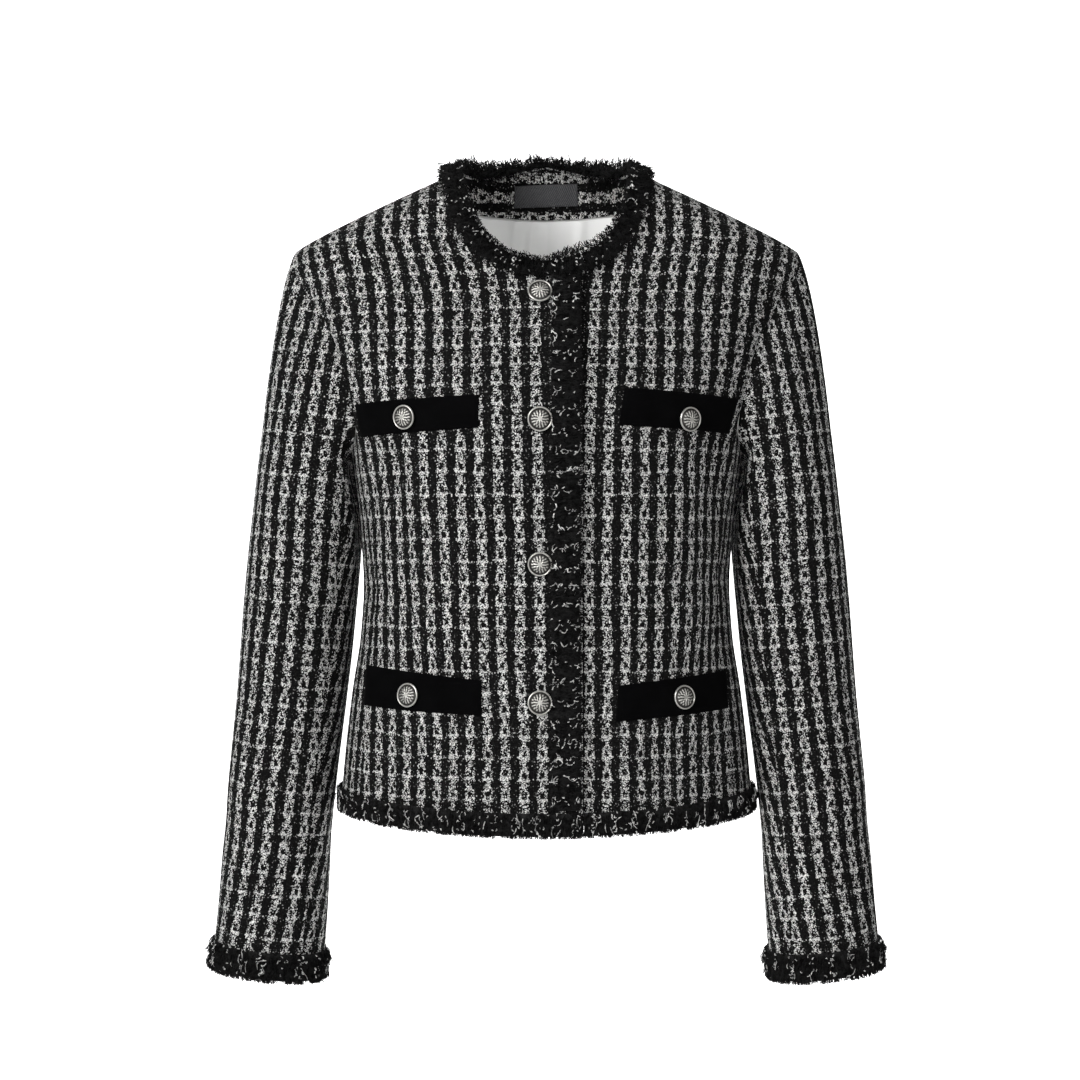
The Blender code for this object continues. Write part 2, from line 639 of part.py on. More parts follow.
def add_wall(name, outer, inner, finish):
    """A closed wall between two grids of the same shape."""
    rows, columns = outer.shape[:2]
    count = rows * columns
    vertices = np.concatenate([outer.reshape(-1, 3), inner.reshape(-1, 3)])

    def at(row, col, layer):
        return layer * count + row * columns + col

    faces = []
    for i in range(rows - 1):
        for j in range(columns - 1):
            faces.append((at(i, j, 0), at(i, j + 1, 0), at(i + 1, j + 1, 0), at(i + 1, j, 0)))
            faces.append((at(i, j, 1), at(i + 1, j, 1), at(i + 1, j + 1, 1), at(i, j + 1, 1)))
    for i in range(rows - 1):
        faces.append((at(i, 0, 0), at(i + 1, 0, 0), at(i + 1, 0, 1), at(i, 0, 1)))
        last = columns - 1
        faces.append((at(i, last, 0), at(i, last, 1), at(i + 1, last, 1), at(i + 1, last, 0)))
    for j in range(columns - 1):
        last = rows - 1
        faces.append((at(0, j, 0), at(0, j, 1), at(0, j + 1, 1), at(0, j + 1, 0)))
        faces.append((at(last, j, 0), at(last, j + 1, 0), at(last, j + 1, 1), at(last, j, 1)))
    return add_object(name, vertices, faces, finish)


def build_body():
    """Fronts, side bodies and back."""
    grid = mirrored(front_grid(-LAP_EDGE))
    outer, inner = wall_faces(grid, WALL, lap_offset(grid, 1))
    add_wall("front_right", *ease_edges(outer, inner), TWEED)

    grid = front_grid(-UNDERLAP_EDGE)
    outer, inner = wall_faces(grid, WALL, lap_offset(grid, -1))
    add_wall("front_left", *ease_edges(outer, inner), TWEED)

    side = side_grid()
    add_wall("side_left", *ease_edges(*wall_faces(side, WALL)), TWEED)
    add_wall("side_right", *ease_edges(*wall_faces(mirrored(side), WALL)), TWEED)
    add_wall("back", *ease_edges(*wall_faces(back_grid(), WALL)), TWEED)


# ================================================================ laying pieces on cloth
FRONTS = ("front_right", "front_left")
BODY_CLOTH = ("front_right", "side_right", "back", "side_left", "front_left")


def cloth_tree(names):
    """A search tree over the faces of finished cloth pieces."""
    corners, polygons = [], []
    for name in names:
        mesh = bpy.data.objects[name].data
        first = len(corners)
        corners.extend(vertex.co.copy() for vertex in mesh.vertices)
        mesh.calc_loop_triangles()
        for triangle in mesh.loop_triangles:
            polygons.append(tuple(first + k for k in triangle.vertices))
    return BVHTree.FromPolygons(corners, polygons, all_triangles=True)


def cloth_height(tree, point, way):
    """Height of a cloth's face over a point along way; beside the cloth, of its nearest face."""
    start = Vector(point + way * LAY_REACH)
    hit = tree.ray_cast(start, Vector(-way), 2.0 * LAY_REACH)[0]
    if hit is None:
        hit = tree.find_nearest(Vector(point))[0]
    return float(np.dot(np.array(hit) - point, way))


def foot_on(tree, point, way):
    """A point moved along way to just clear a cloth's face."""
    return point + way * (cloth_height(tree, point, way) + LAY_GAP)


def lay_on(tree, points, ways):
    """A grid of points moved along their ways until the sheet between them clears the cloth."""
    laid = np.array(points)
    for index in np.ndindex(laid.shape[:2]):
        laid[index] = foot_on(tree, laid[index], ways[index])
    for _ in range(LAY_ROUNDS):
        lift = np.zeros(laid.shape[:2])
        for i, j in np.ndindex(laid.shape[0] - 1, laid.shape[1] - 1):
            quad = (slice(i, i + 2), slice(j, j + 2))
            for u in LAY_SAMPLES:
                for v in LAY_SAMPLES:
                    share = np.outer((1.0 - v, v), (1.0 - u, u))[..., None]
                    point = np.sum(laid[quad] * share, axis=(0, 1))
                    way = unit(np.sum(ways[quad] * share, axis=(0, 1)))
                    short = cloth_height(tree, point, way) + LAY_CLEAR
                    lift[quad] = np.maximum(lift[quad], short)
        laid += ways * lift[..., None]
    return laid


# ================================================================ sleeves
def armhole_ring():
    """Armhole points from the underarm up the front, over the tip and down the back."""
    front_upper, front_lower = armhole_parts("front")
    back_upper, back_lower = armhole_parts("back")
    return np.concatenate([front_lower, front_upper[1:], back_upper[::-1][1:],
                           back_lower[::-1][1:-1]])


def ring_angles(ring, tip_index):
    """Angle round the sleeve for each armhole point; 0 is the underarm, pi the tip."""
    closed = np.concatenate([ring, ring[:1]])
    lengths = np.concatenate([[0.0], np.cumsum(np.linalg.norm(np.diff(closed, axis=0), axis=1))])
    tip = lengths[tip_index]
    front = math.pi * lengths[:tip_index + 1] / tip
    back = math.pi + math.pi * (lengths[tip_index + 1:-1] - tip) / (lengths[-1] - tip)
    return np.concatenate([front, back])


def sleeve_ring(height, angles):
    """One ring of the sleeve's outer face, kept clear of the body."""
    across = SLEEVE_CURVES["half_width"](height)
    depth = SLEEVE_CURVES["half_depth"](height)
    power = 2.0 / SLEEVE_SQUARENESS
    cosine, sine = np.cos(angles), np.sin(angles)
    dx = -across * np.sign(cosine) * np.abs(cosine) ** power
    x = SLEEVE_CURVES["centre_x"](height) + dx
    y = SLEEVE_CURVES["centre_y"](height) - depth * np.sign(sine) * np.abs(sine) ** power
    z = height + dx * SLEEVE_LEAN
    return clear_of_body(np.stack([x, y, z], axis=-1))


def clear_of_body(points):
    """Points moved outward in x until they clear the body's side."""
    y, z = points[..., 1], points[..., 2]
    limit = side_x(y, z) + ARM_CLEARANCE
    limit = np.where(np.abs(y) > BODY_DEPTH_LIMIT, 0.0, limit)
    gap = points[..., 0] - limit
    x = limit + 0.5 * (gap + np.sqrt(gap * gap + ARM_BLEND * ARM_BLEND))
    return np.stack([x, y, z], axis=-1)


SLEEVE_CURVES = {name: column(SLEEVE_LEVELS, name)
                 for name in ("centre_x", "centre_y", "half_width", "half_depth")}


def sleeve_grids():
    """Outer and inner grids of the wearer's left sleeve: rows down, columns round."""
    ring = armhole_ring()
    tip_index = UNDERARM_COLUMNS + ARMHOLE_ROWS
    angles = ring_angles(ring, tip_index)
    normals = body_normals(ring)
    tangents = unit(np.roll(ring, -1, axis=0) - np.roll(ring, 1, axis=0))
    away = unit(np.cross(tangents, normals))
    centre = ring.mean(axis=0)
    away *= -np.sign(np.sum(away * (ring - centre), axis=1, keepdims=True))

    first = sleeve_ring(SLEEVE_LEVELS[0].height, angles)
    second = sleeve_ring(SLEEVE_LEVELS[0].height - ARM_RING_STEP, angles)
    down = unit(second - first)
    span = np.linalg.norm(first - ring, axis=1, keepdims=True)
    high = smooth_step(ring[:, 2:3], *CAP_HIGH_BAND)
    outward = np.array(CAP_LEAVE_LOW) * (1.0 - high) + np.array(CAP_LEAVE_HIGH) * high
    sideways = np.array([0.0, 1.0, 0.0]) * (ring[:, 1:2] - centre[1]) * CAP_SPREAD
    leave = unit(CAP_LEAVE_SEAM * away + outward + sideways)
    fullness = CAP_FULLNESS_LOW + (CAP_FULLNESS_HIGH - CAP_FULLNESS_LOW) * high
    start_pull = leave * np.clip(span * fullness, *CAP_START_LIMITS)
    end_pull = down * np.clip(span * CAP_END_FULLNESS, *CAP_END_LIMITS)

    rows = [ring]
    for step in range(1, CAP_ROWS):
        t = (step / CAP_ROWS) ** CAP_ROW_BIAS
        point = ((1 + 2 * t) * (1 - t) ** 2 * ring + t * t * (3 - 2 * t) * first
                 + t * (1 - t) ** 2 * start_pull + t * t * (t - 1) * end_pull)
        rows.append(clear_near_body(point, t))
    for height in np.linspace(SLEEVE_LEVELS[0].height, SLEEVE_LEVELS[-1].height, SLEEVE_ROWS + 1):
        rows.append(sleeve_ring(height, angles))
    outer = np.stack(rows)
    around = np.roll(outer, -1, axis=1) - np.roll(outer, 1, axis=1)
    along = np.gradient(outer, axis=0)
    facing = unit(np.cross(around, along))
    middle = outer.mean(axis=1, keepdims=True)
    facing *= np.sign(np.sum(facing * (outer - middle), axis=(1, 2)))[:, None, None]
    inner = outer - facing * WALL
    under = smooth_step(-ring[:, 2:3], *CAP_MITRE_BAND)
    inner[0] = ring - unit(facing[0] * under + normals) * WALL
    shift = away * (2.0 * SEAM_EASE)
    outer[0] = outer[0] + shift
    inner[0] = inner[0] + shift
    return outer, inner


def clear_near_body(points, share):
    """Cap points kept off the body's side, more so the further they are from the seam."""
    clearance = ARM_CLEARANCE * min(1.0, share * 2.0)
    y, z = points[..., 1], points[..., 2]
    limit = side_x(y, z) + clearance
    below = smooth_step(-z, *CAP_CLEAR_BAND)
    gap = points[..., 0] - limit
    pushed = limit + 0.5 * (gap + np.sqrt(gap * gap + CAP_BLEND * CAP_BLEND))
    x = points[..., 0] + (np.maximum(pushed, points[..., 0]) - points[..., 0]) * below
    return np.stack([x, y, z], axis=-1)


def build_sleeves():
    """Two sleeves, each a top and an under piece."""
    outer, inner = sleeve_grids()
    columns = outer.shape[1]
    front_seam = UNDERARM_COLUMNS
    back_seam = columns - UNDERARM_COLUMNS
    top = list(range(front_seam, back_seam + 1))
    under = list(range(back_seam, columns)) + list(range(0, front_seam + 1))
    for side, flip in (("left", False), ("right", True)):
        for name, picked in (("top", top), ("under", under)):
            faces = [grid[:, picked].copy() for grid in (outer, inner)]
            if flip:
                faces = [mirrored(face) for face in faces]
            else:
                faces = [face[:, ::-1] for face in faces]
            for face in faces:
                for edge, neighbour in ((0, 1), (-1, -2)):
                    face[:, edge] += unit(face[:, neighbour] - face[:, edge]) * SEAM_EASE
            add_wall(f"sleeve_{side}_{name}", *faces, TWEED)


# ================================================================ fringe
def add_fringe(name, edge_line, far_line, normals, locks, closed=False):
    """A strip between two lines with one tapered lock on each segment.

    locks lists (side, tips) where side is "edge" or "far" and tips holds, for each
    segment, the vector from the root of its lock to the tip.
    """
    stations = len(edge_line)
    top_far = far_line + normals * FRINGE_THICK
    top_edge = edge_line + normals * FRINGE_THICK
    vertices = list(np.stack([edge_line, far_line, top_far, top_edge], axis=1).reshape(-1, 3))
    segments = stations if closed else stations - 1
    tips_of = dict(locks)
    faces = []
    for i in range(segments):
        a = 4 * i
        b = 4 * ((i + 1) % stations)
        sides = {"base": (a, a + 1, b + 1, b), "far": (a + 1, a + 2, b + 2, b + 1),
                 "top": (a + 2, a + 3, b + 3, b + 2), "edge": (a + 3, a, b, b + 3)}
        for side, quad in sides.items():
            if side not in tips_of:
                faces.append(quad)
                continue
            faces.extend(add_lock(vertices, quad, tips_of[side][i]))
    if not closed:
        end = 4 * (stations - 1)
        faces.append((0, 3, 2, 1))
        faces.append((end, end + 1, end + 2, end + 3))
    return add_object(name, np.array(vertices), faces, FRINGE)


def add_lock(vertices, quad, reach):
    """Faces of one lock of yarn drawn out of a side of the strip."""
    corners = np.array([vertices[k] for k in quad])
    root = corners.mean(axis=0)
    first = len(vertices)
    for corner in corners:
        vertices.append(root + reach + (corner - root) * LOCK_TAPER)
    faces = [tuple(first + k for k in range(4))]
    for k in range(4):
        n = (k + 1) % 4
        faces.append((quad[k], quad[n], first + n, first + k))
    return faces


def uneven(index, phase):
    """A repeatable value between -1 and 1 for lock number index."""
    return math.sin(index * 2.399 + phase) * math.cos(index * 1.171 + 2.0 * phase)


def build_hem_fringe():
    """Fringe round the hem, from the lap's edge round the back to the left front."""
    start = math.atan2(-HEM_FRONT_DEPTH, HEM_TRIM_START)
    end = math.atan2(-HEM_FRONT_DEPTH, HEM_TRIM_END) - 2.0 * math.pi
    bearings = np.linspace(start, end, 4 * DENSE)
    spokes = np.stack([np.cos(bearings), np.sin(bearings), np.zeros_like(bearings)], axis=1)
    guess = cast(ray_starts(0.0 * bearings, 0.0 * bearings, HEM_SIDE), spokes)
    middle = np.where(guess[:, 1] < 0.0, HEM_FRONT, HEM_BACK)
    hem = hem_height(guess[:, 0], middle)
    lines = []
    for rise in (HEM_STRIP_RISE, HEM_STRIP_RISE + FRINGE_STRIP):
        dense = cast(ray_starts(0.0 * bearings, 0.0 * bearings, hem + rise), spokes)
        lines.append(dense)
    low = even_points(lines[0], HEM_LOCKS)
    high = settle(low + np.array([0.0, 0.0, FRINGE_STRIP]))
    normals = body_normals(low)
    ways = np.stack([normals, normals])
    low, high = lay_on(cloth_tree(BODY_CLOTH), np.stack([low, high]), ways)
    tips = []
    for i in range(HEM_LOCKS):
        length = HEM_REACH + LOCK_UNEVEN * uneven(i, 0.3)
        sway = unit(low[i + 1] - low[i]) * HEM_SWAY * uneven(i, 1.1)
        tips.append(np.array([0.0, 0.0, -length]) + normals[i] * HEM_FLARE + sway)
    add_fringe("fringe_hem", low, high, normals, [("edge", tips)])


def build_neck_fringe():
    """Fringe round the neckline, from the lap's edge round the back to the left front."""
    right_front = mirrored(front_neckline(-NECK_TRIM_START, DENSE))
    back = back_neckline(DENSE)
    back_round = np.concatenate([mirrored(back)[::-1], back[1:]])
    left_front = front_neckline(NECK_TRIM_END, DENSE)[::-1]
    dense = np.concatenate([right_front, back_round[1:], left_front[1:]])
    edge = even_points(dense, NECK_LOCKS)
    normals = body_normals(edge)
    ahead = np.gradient(edge, axis=0)
    away = unit(np.cross(ahead, normals))
    outward = edge - np.array(NECK_CENTRE)
    away *= np.sign(np.sum(away * outward, axis=1, keepdims=True))
    near = settle(edge + away * NECK_STRIP_DROP)
    far = settle(edge + away * (NECK_STRIP_DROP + FRINGE_STRIP))
    normals = body_normals(near)
    ways = np.stack([normals, normals])
    near, far = lay_on(cloth_tree(BODY_CLOTH), np.stack([near, far]), ways)
    tips = []
    for i in range(NECK_LOCKS):
        behind = float(smooth_step(near[i, 1], *NECK_BACK_BAND))
        length = NECK_REACH_FRONT + (NECK_REACH_BACK - NECK_REACH_FRONT) * behind
        length += NECK_UNEVEN * uneven(i, 0.7)
        shoulder = math.exp(-((near[i, 1] / NECK_FLUFF_SPREAD) ** 2))
        lift = NECK_LIFT + (NECK_FLUFF_ODD if i % 2 else NECK_FLUFF_EVEN) * shoulder
        way = unit(unit(near[i] - far[i]) + normals[i] * lift)
        tips.append(way * length)
    add_fringe("fringe_neck", near, far, normals, [("edge", tips)])


def build_placket_fringe():
    """Fringe down the edge of the lap, with locks to both sides."""
    heights = np.linspace(PLACKET_TOP, PLACKET_BOTTOM, PLACKET_LOCKS + 1)
    near = front_point(PLACKET_MIDDLE + FRINGE_STRIP / 2.0, heights)
    far = front_point(PLACKET_MIDDLE - FRINGE_STRIP / 2.0, heights)
    normals = body_normals(front_point(PLACKET_MIDDLE, heights))
    ways = np.stack([normals, normals])
    near, far = lay_on(cloth_tree(FRONTS[:1]), np.stack([near, far]), ways)
    right_tips, left_tips = [], []
    for i in range(PLACKET_LOCKS):
        out = unit(near[i] - far[i])
        drop = np.array([0.0, 0.0, -PLACKET_DROP - PLACKET_SWAY * uneven(i, 0.2)])
        right_tips.append(out * (PLACKET_REACH + PLACKET_UNEVEN * uneven(i, 0.9)) + drop)
        left_tips.append(-out * (PLACKET_INNER_REACH + PLACKET_UNEVEN * uneven(i, 1.7)) + drop)
    add_fringe("fringe_placket", near, far, normals,
               [("edge", right_tips), ("far", left_tips)])


def build_cuff_fringes():
    """Fringe round each cuff."""
    angles = np.linspace(0.0, 2.0 * math.pi, CUFF_LOCKS, endpoint=False)
    cuff = SLEEVE_LEVELS[-1].height
    low = sleeve_ring(cuff + CUFF_STRIP_RISE, angles)
    high = sleeve_ring(cuff + CUFF_STRIP_RISE + FRINGE_STRIP, angles)
    around = np.roll(low, -1, axis=0) - np.roll(low, 1, axis=0)
    normals = unit(np.cross(around, low - high))
    normals *= np.sign(np.sum(normals * (low - low.mean(axis=0)), axis=1, keepdims=True))
    down = unit(low - high)
    tree = cloth_tree(("sleeve_left_top", "sleeve_left_under"))
    lines = np.stack([low, high])
    ways = np.stack([normals, normals])
    low, high = lay_on(tree, np.concatenate([lines, lines[:, :1]], axis=1),
                       np.concatenate([ways, ways[:, :1]], axis=1))[:, :-1]
    tips = []
    for i in range(CUFF_LOCKS):
        length = CUFF_REACH + LOCK_UNEVEN * uneven(i, 0.5)
        tips.append(down[i] * length + normals[i] * CUFF_FLARE)
    tips = np.array(tips)
    add_fringe("fringe_cuff_left", low, high, normals, [("edge", tips)], closed=True)
    add_fringe("fringe_cuff_right", mirrored(low), mirrored(high), mirrored(normals),
               [("edge", mirrored(tips))], closed=True)


# ================================================================ pocket bands and buttons
def band_grid(band):
    """Points of a pocket band on the body form, from inner to outer end."""
    across = np.linspace(0.0, 1.0, BAND_COLUMNS + 1)[None, :, None]
    up = np.linspace(0.0, 1.0, BAND_ROWS + 1)[:, None, None]
    corners = [np.array(c) for c in band[1:5]]
    inner = corners[1] + (corners[0] - corners[1]) * up
    outer = corners[3] + (corners[2] - corners[3]) * up
    seen = inner + (outer - inner) * across
    return front_point(seen[..., 0], seen[..., 1])


def build_pocket_bands():
    """Four velvet bands, each laid on its front."""
    for band in POCKET_BANDS:
        grid = band_grid(band)
        front = FRONTS[0] if "right" in band.name else FRONTS[1]
        normals = body_normals(grid)
        inner = lay_on(cloth_tree((front,)), grid, normals)
        add_wall(f"pocket_{band.name}", inner + normals * BAND_THICK, inner, VELVET)


ButtonRing = namedtuple("ButtonRing", "radius height")
BUTTON_PROFILE = (          # from the shank's foot to the crown of the dome
    ButtonRing(0.0021, 0.0000),
    ButtonRing(0.0021, 0.0012),
    ButtonRing(BUTTON_RADIUS * 0.94, 0.0014),
    ButtonRing(BUTTON_RADIUS, 0.0024),
    ButtonRing(BUTTON_RADIUS * 0.90, 0.0032),
    ButtonRing(BUTTON_RADIUS * 0.74, 0.0029),
    ButtonRing(BUTTON_RADIUS * 0.42, 0.0044),
)
BUTTON_CROWN = 0.0049


def button_mesh():
    """A dome button with a rim and a short shank, standing on its foot."""
    vertices = [(0.0, 0.0, 0.0)]
    for ring in BUTTON_PROFILE:
        for k in range(BUTTON_SIDES):
            angle = 2.0 * math.pi * k / BUTTON_SIDES
            vertices.append((ring.radius * math.cos(angle), ring.radius * math.sin(angle),
                             ring.height))
    crown = len(vertices)
    vertices.append((0.0, 0.0, BUTTON_CROWN))
    faces = []
    last = 1 + (len(BUTTON_PROFILE) - 1) * BUTTON_SIDES
    for k in range(BUTTON_SIDES):
        n = (k + 1) % BUTTON_SIDES
        faces.append((0, 1 + n, 1 + k))
        faces.append((last + k, last + n, crown))
        for level in range(len(BUTTON_PROFILE) - 1):
            low = 1 + level * BUTTON_SIDES
            high = low + BUTTON_SIDES
            faces.append((low + k, low + n, high + n, high + k))
    return vertices, faces


def add_button(name, foot, normal):
    """A button standing on its cloth at foot."""
    vertices, faces = button_mesh()
    piece = add_object(name, vertices, faces, OLD_SILVER)
    piece.location = tuple(map(float, foot))
    piece.rotation_mode = "QUATERNION"
    piece.rotation_quaternion = Vector(tuple(map(float, normal))).to_track_quat("Z", "Y")
    return piece


def build_buttons():
    """Four front buttons and one on each pocket band."""
    for number, height in enumerate(FRONT_BUTTON_HEIGHTS, start=1):
        point = front_point(BUTTON_LINE, height)
        normal = body_normals(point)
        foot = foot_on(cloth_tree(FRONTS[:1]), point, normal)
        add_button(f"button_front_{number}", foot, normal)
    for band in POCKET_BANDS:
        point = front_point(*band.button)
        normal = body_normals(point)
        foot = foot_on(cloth_tree((f"pocket_{band.name}",)), point, normal)
        add_button(f"button_pocket_{band.name}", foot, normal)


# ================================================================ inside of the back
def facing_grid():
    """Back neck facing on the body form, from just under the neckline down."""
    half = back_neckline(FACING_COLUMNS // 2)
    top = np.concatenate([mirrored(half)[::-1], half[1:]])
    share = np.linspace(-1.0, 1.0, FACING_COLUMNS + 1)
    sides = float(ridge_point(FACING_LOW_HALF)[2]) - FACING_INSET
    height = FACING_BOTTOM + (sides - FACING_BOTTOM) * np.abs(share) ** FACING_BEND
    bottom = back_point(FACING_LOW_HALF * share, height)
    rows = np.linspace(0.0, FACING_RISE, FACING_ROWS + 1)[:, None, None]
    return settle(bottom[None] + (top - bottom)[None] * rows)


def build_back_inside():
    """Facing, lining and blank label inside the back."""
    add_skin("facing_back_neck", "back", facing_grid(), TWEED)

    share = np.array(LINING_COLUMNS)
    heights = np.linspace(LINING_BOTTOM, FACING_BOTTOM - LINING_GAP, LINING_ROWS + 1)
    width = column(LINING_WIDTHS, "half_width")
    sides = float(ridge_point(FACING_LOW_HALF)[2]) - FACING_INSET - LINING_GAP
    grid = []
    for height in heights:
        near_top = float(smooth_step(height, LINING_CURVE_START, heights[-1]))
        z = height + (sides - heights[-1]) * near_top * np.abs(share) ** FACING_BEND
        grid.append(back_point(width(height) * share, z))
    grid = np.array(grid)
    pleat = PLEAT_RISE * np.exp(-(grid[..., 0] / PLEAT_SPREAD) ** 2)
    add_skin("lining_back", "back", grid, SATIN, pleat)

    x = np.linspace(-LABEL_HALF_WIDTH, LABEL_HALF_WIDTH, LABEL_COLUMNS + 1)[None, :]
    z = np.linspace(LABEL_BOTTOM, LABEL_TOP, 3)[:, None]
    grid = back_point(x + 0.0 * z, z + LABEL_TILT * x)
    add_skin("label", "facing_back_neck", grid, LABEL_CLOTH)


def add_skin(name, backing, grid, finish, rise=None):
    """A thin piece laid on the inner face of its backing."""
    inward = -body_normals(grid)
    outer = lay_on(cloth_tree((backing,)), grid, inward)
    if rise is not None:
        outer = outer + inward * rise[..., None]
    return add_wall(name, outer, outer + inward * SKIN_THICK, finish)


def main():
    """Build the whole jacket."""
    for old in list(bpy.data.objects):
        bpy.data.objects.remove(old, do_unlink=True)
    build_body()
    build_sleeves()
    build_neck_fringe()
    build_placket_fringe()
    build_hem_fringe()
    build_cuff_fringes()
    build_pocket_bands()
    build_buttons()
    build_back_inside()


main()
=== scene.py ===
"""Looks for a cropped, collarless tweed jacket, filled out as when worn.

Each cloth piece is a fine closed shell on the same body form or sleeve form as
its CAD solid. Cloth carries its own grain in the UV layer "cloth", in metres,
so stripes run along the grain of every piece.
"""
import logging
import math
from dataclasses import dataclass, field
from enum import Enum
from typing import Callable, Dict, List, NamedTuple, Optional, Sequence, Tuple

import bpy
import numpy as np
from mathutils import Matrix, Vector


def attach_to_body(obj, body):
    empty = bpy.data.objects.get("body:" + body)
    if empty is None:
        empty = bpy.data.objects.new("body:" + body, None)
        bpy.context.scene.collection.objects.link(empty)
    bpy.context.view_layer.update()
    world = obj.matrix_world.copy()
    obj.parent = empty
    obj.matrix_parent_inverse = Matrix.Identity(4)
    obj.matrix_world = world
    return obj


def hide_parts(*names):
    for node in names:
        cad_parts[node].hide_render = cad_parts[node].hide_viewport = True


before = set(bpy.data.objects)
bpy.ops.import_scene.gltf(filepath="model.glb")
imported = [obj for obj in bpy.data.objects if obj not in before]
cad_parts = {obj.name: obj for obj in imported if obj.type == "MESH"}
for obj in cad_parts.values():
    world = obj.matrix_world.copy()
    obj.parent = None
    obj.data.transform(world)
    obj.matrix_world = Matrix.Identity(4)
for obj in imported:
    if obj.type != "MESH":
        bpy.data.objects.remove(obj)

logging.basicConfig(level=logging.INFO, format="%(message)s")
LOG = logging.getLogger("jacket")

BODY = "root"
Array = np.ndarray
Pair = Tuple[float, float]
Triple = Tuple[float, float, float]
Faces = List[List[int]]
Socket = bpy.types.NodeSocket
Material = bpy.types.Material
Piece = bpy.types.Object


# ---------------- helpers
class Side(Enum):
    """The wearer's side that a piece is on, as a sign of x."""

    LEFT = 1
    RIGHT = -1


class Face(Enum):
    """The front or the back of the body, as a column of the edge tables."""

    FRONT = "front"
    BACK = "back"


class SmoothCurve:
    """A monotone cubic through (knot, value) pairs."""

    def __init__(self, knots: Sequence[float], values: Sequence[float]) -> None:
        """Prepare the slopes.

        Args:
            knots: Places along the curve, in any order.
            values: One value for each knot.
        """
        order = np.argsort(knots)
        self.knots = np.asarray(knots, float)[order]
        self.values = np.asarray(values, float)[order]
        steps = np.diff(self.knots)
        secants = np.diff(self.values) / steps
        slopes = np.zeros_like(self.values)
        slopes[0], slopes[-1] = secants[0], secants[-1]
        for i in range(1, len(slopes) - 1):
            if secants[i - 1] * secants[i] > 0.0:
                before = 2.0 * steps[i] + steps[i - 1]
                after = steps[i] + 2.0 * steps[i - 1]
                slopes[i] = (before + after) / (before / secants[i - 1] + after / secants[i])
        self.slopes = slopes

    def __call__(self, where: Array) -> Array:
        """Values at the places given.

        Args:
            where: Places, clipped to the ends.

        Returns:
            One value for each place.
        """
        where = np.clip(where, self.knots[0], self.knots[-1])
        index = np.clip(np.searchsorted(self.knots, where) - 1, 0, len(self.knots) - 2)
        width = self.knots[index + 1] - self.knots[index]
        t = (where - self.knots[index]) / width
        start = (1.0 + 2.0 * t) * (1.0 - t) ** 2 * self.values[index]
        end = t * t * (3.0 - 2.0 * t) * self.values[index + 1]
        lead = t * (1.0 - t) ** 2 * width * self.slopes[index]
        trail = t * t * (t - 1.0) * width * self.slopes[index + 1]
        return start + end + lead + trail


def column(rows: Sequence[NamedTuple], name: str, knot: str = "height") -> SmoothCurve:
    """A smooth curve of one named column of a table."""
    return SmoothCurve([getattr(r, knot) for r in rows], [getattr(r, name) for r in rows])


def smooth_step(value: Array, start: float, end: float) -> Array:
    """0 before start, 1 after end, eased between."""
    t = np.clip((np.asarray(value, float) - start) / (end - start), 0.0, 1.0)
    return t * t * (3.0 - 2.0 * t)


def unit(vectors: Array) -> Array:
    """Vectors scaled to length 1."""
    return vectors / np.maximum(np.linalg.norm(vectors, axis=-1, keepdims=True), 1e-12)


def spans(points: Array, axis: int = 0) -> Array:
    """Lengths of the steps between neighbours along one axis."""
    return np.linalg.norm(np.diff(points, axis=axis), axis=-1)


def running(steps: Array, axis: int = 0) -> Array:
    """Running total of the steps along one axis, from 0."""
    return np.concatenate([0.0 * steps.take([0], axis), np.cumsum(steps, axis=axis)], axis=axis)


def arc_lengths(points: Array, axis: int = 0) -> Array:
    """Length along one axis from the first point to each point."""
    return running(spans(points, axis), axis)


def ramp(count: int) -> Array:
    """Even shares from 0 to 1, in so many steps."""
    return np.linspace(0.0, 1.0, count + 1)


def even_points(points: Array, count: int) -> Array:
    """Points at even arc length along a dense polyline.

    Args:
        points: The polyline.
        count: Number of steps.

    Returns:
        count + 1 points.
    """
    lengths = arc_lengths(points)
    stations = np.linspace(0.0, lengths[-1], count + 1)
    return np.stack([np.interp(stations, lengths, points[:, k]) for k in range(3)], axis=1)


def between(table: Array, i: Array, j: Array) -> Array:
    """A table read between its entries, clipped to its ends.

    Args:
        table: The entries.
        i: Rows, as fractions.
        j: Columns, as fractions.

    Returns:
        One value for each place.
    """
    i0 = np.clip(i.astype(int), 0, table.shape[0] - 2)
    j0 = np.clip(j.astype(int), 0, table.shape[1] - 2)
    s, t = np.clip(i - i0, 0.0, 1.0), np.clip(j - j0, 0.0, 1.0)
    low = table[i0, j0] * (1 - t) + table[i0, j0 + 1] * t
    high = table[i0 + 1, j0] * (1 - t) + table[i0 + 1, j0 + 1] * t
    return low * (1 - s) + high * s


def mirrored(points: Array) -> Array:
    """The same points on the wearer's other side."""
    return points * np.array([-1.0, 1.0, 1.0])


def joined(*parts: Array) -> Array:
    """Coordinate arrays joined into points."""
    return np.stack(np.broadcast_arrays(*(np.asarray(v, float) for v in parts)), axis=-1)


def named_rows(kind: Callable[..., NamedTuple], rows: Sequence[tuple]) -> Tuple[NamedTuple, ...]:
    """Rows of numbers as named rows."""
    return tuple(kind(*row) for row in rows)


# ---------------- the body form
class BodyLevel(NamedTuple):
    """One level of the body form's wall."""

    height: float
    half_width: float
    front_depth: float
    back_depth: float
    squareness: float


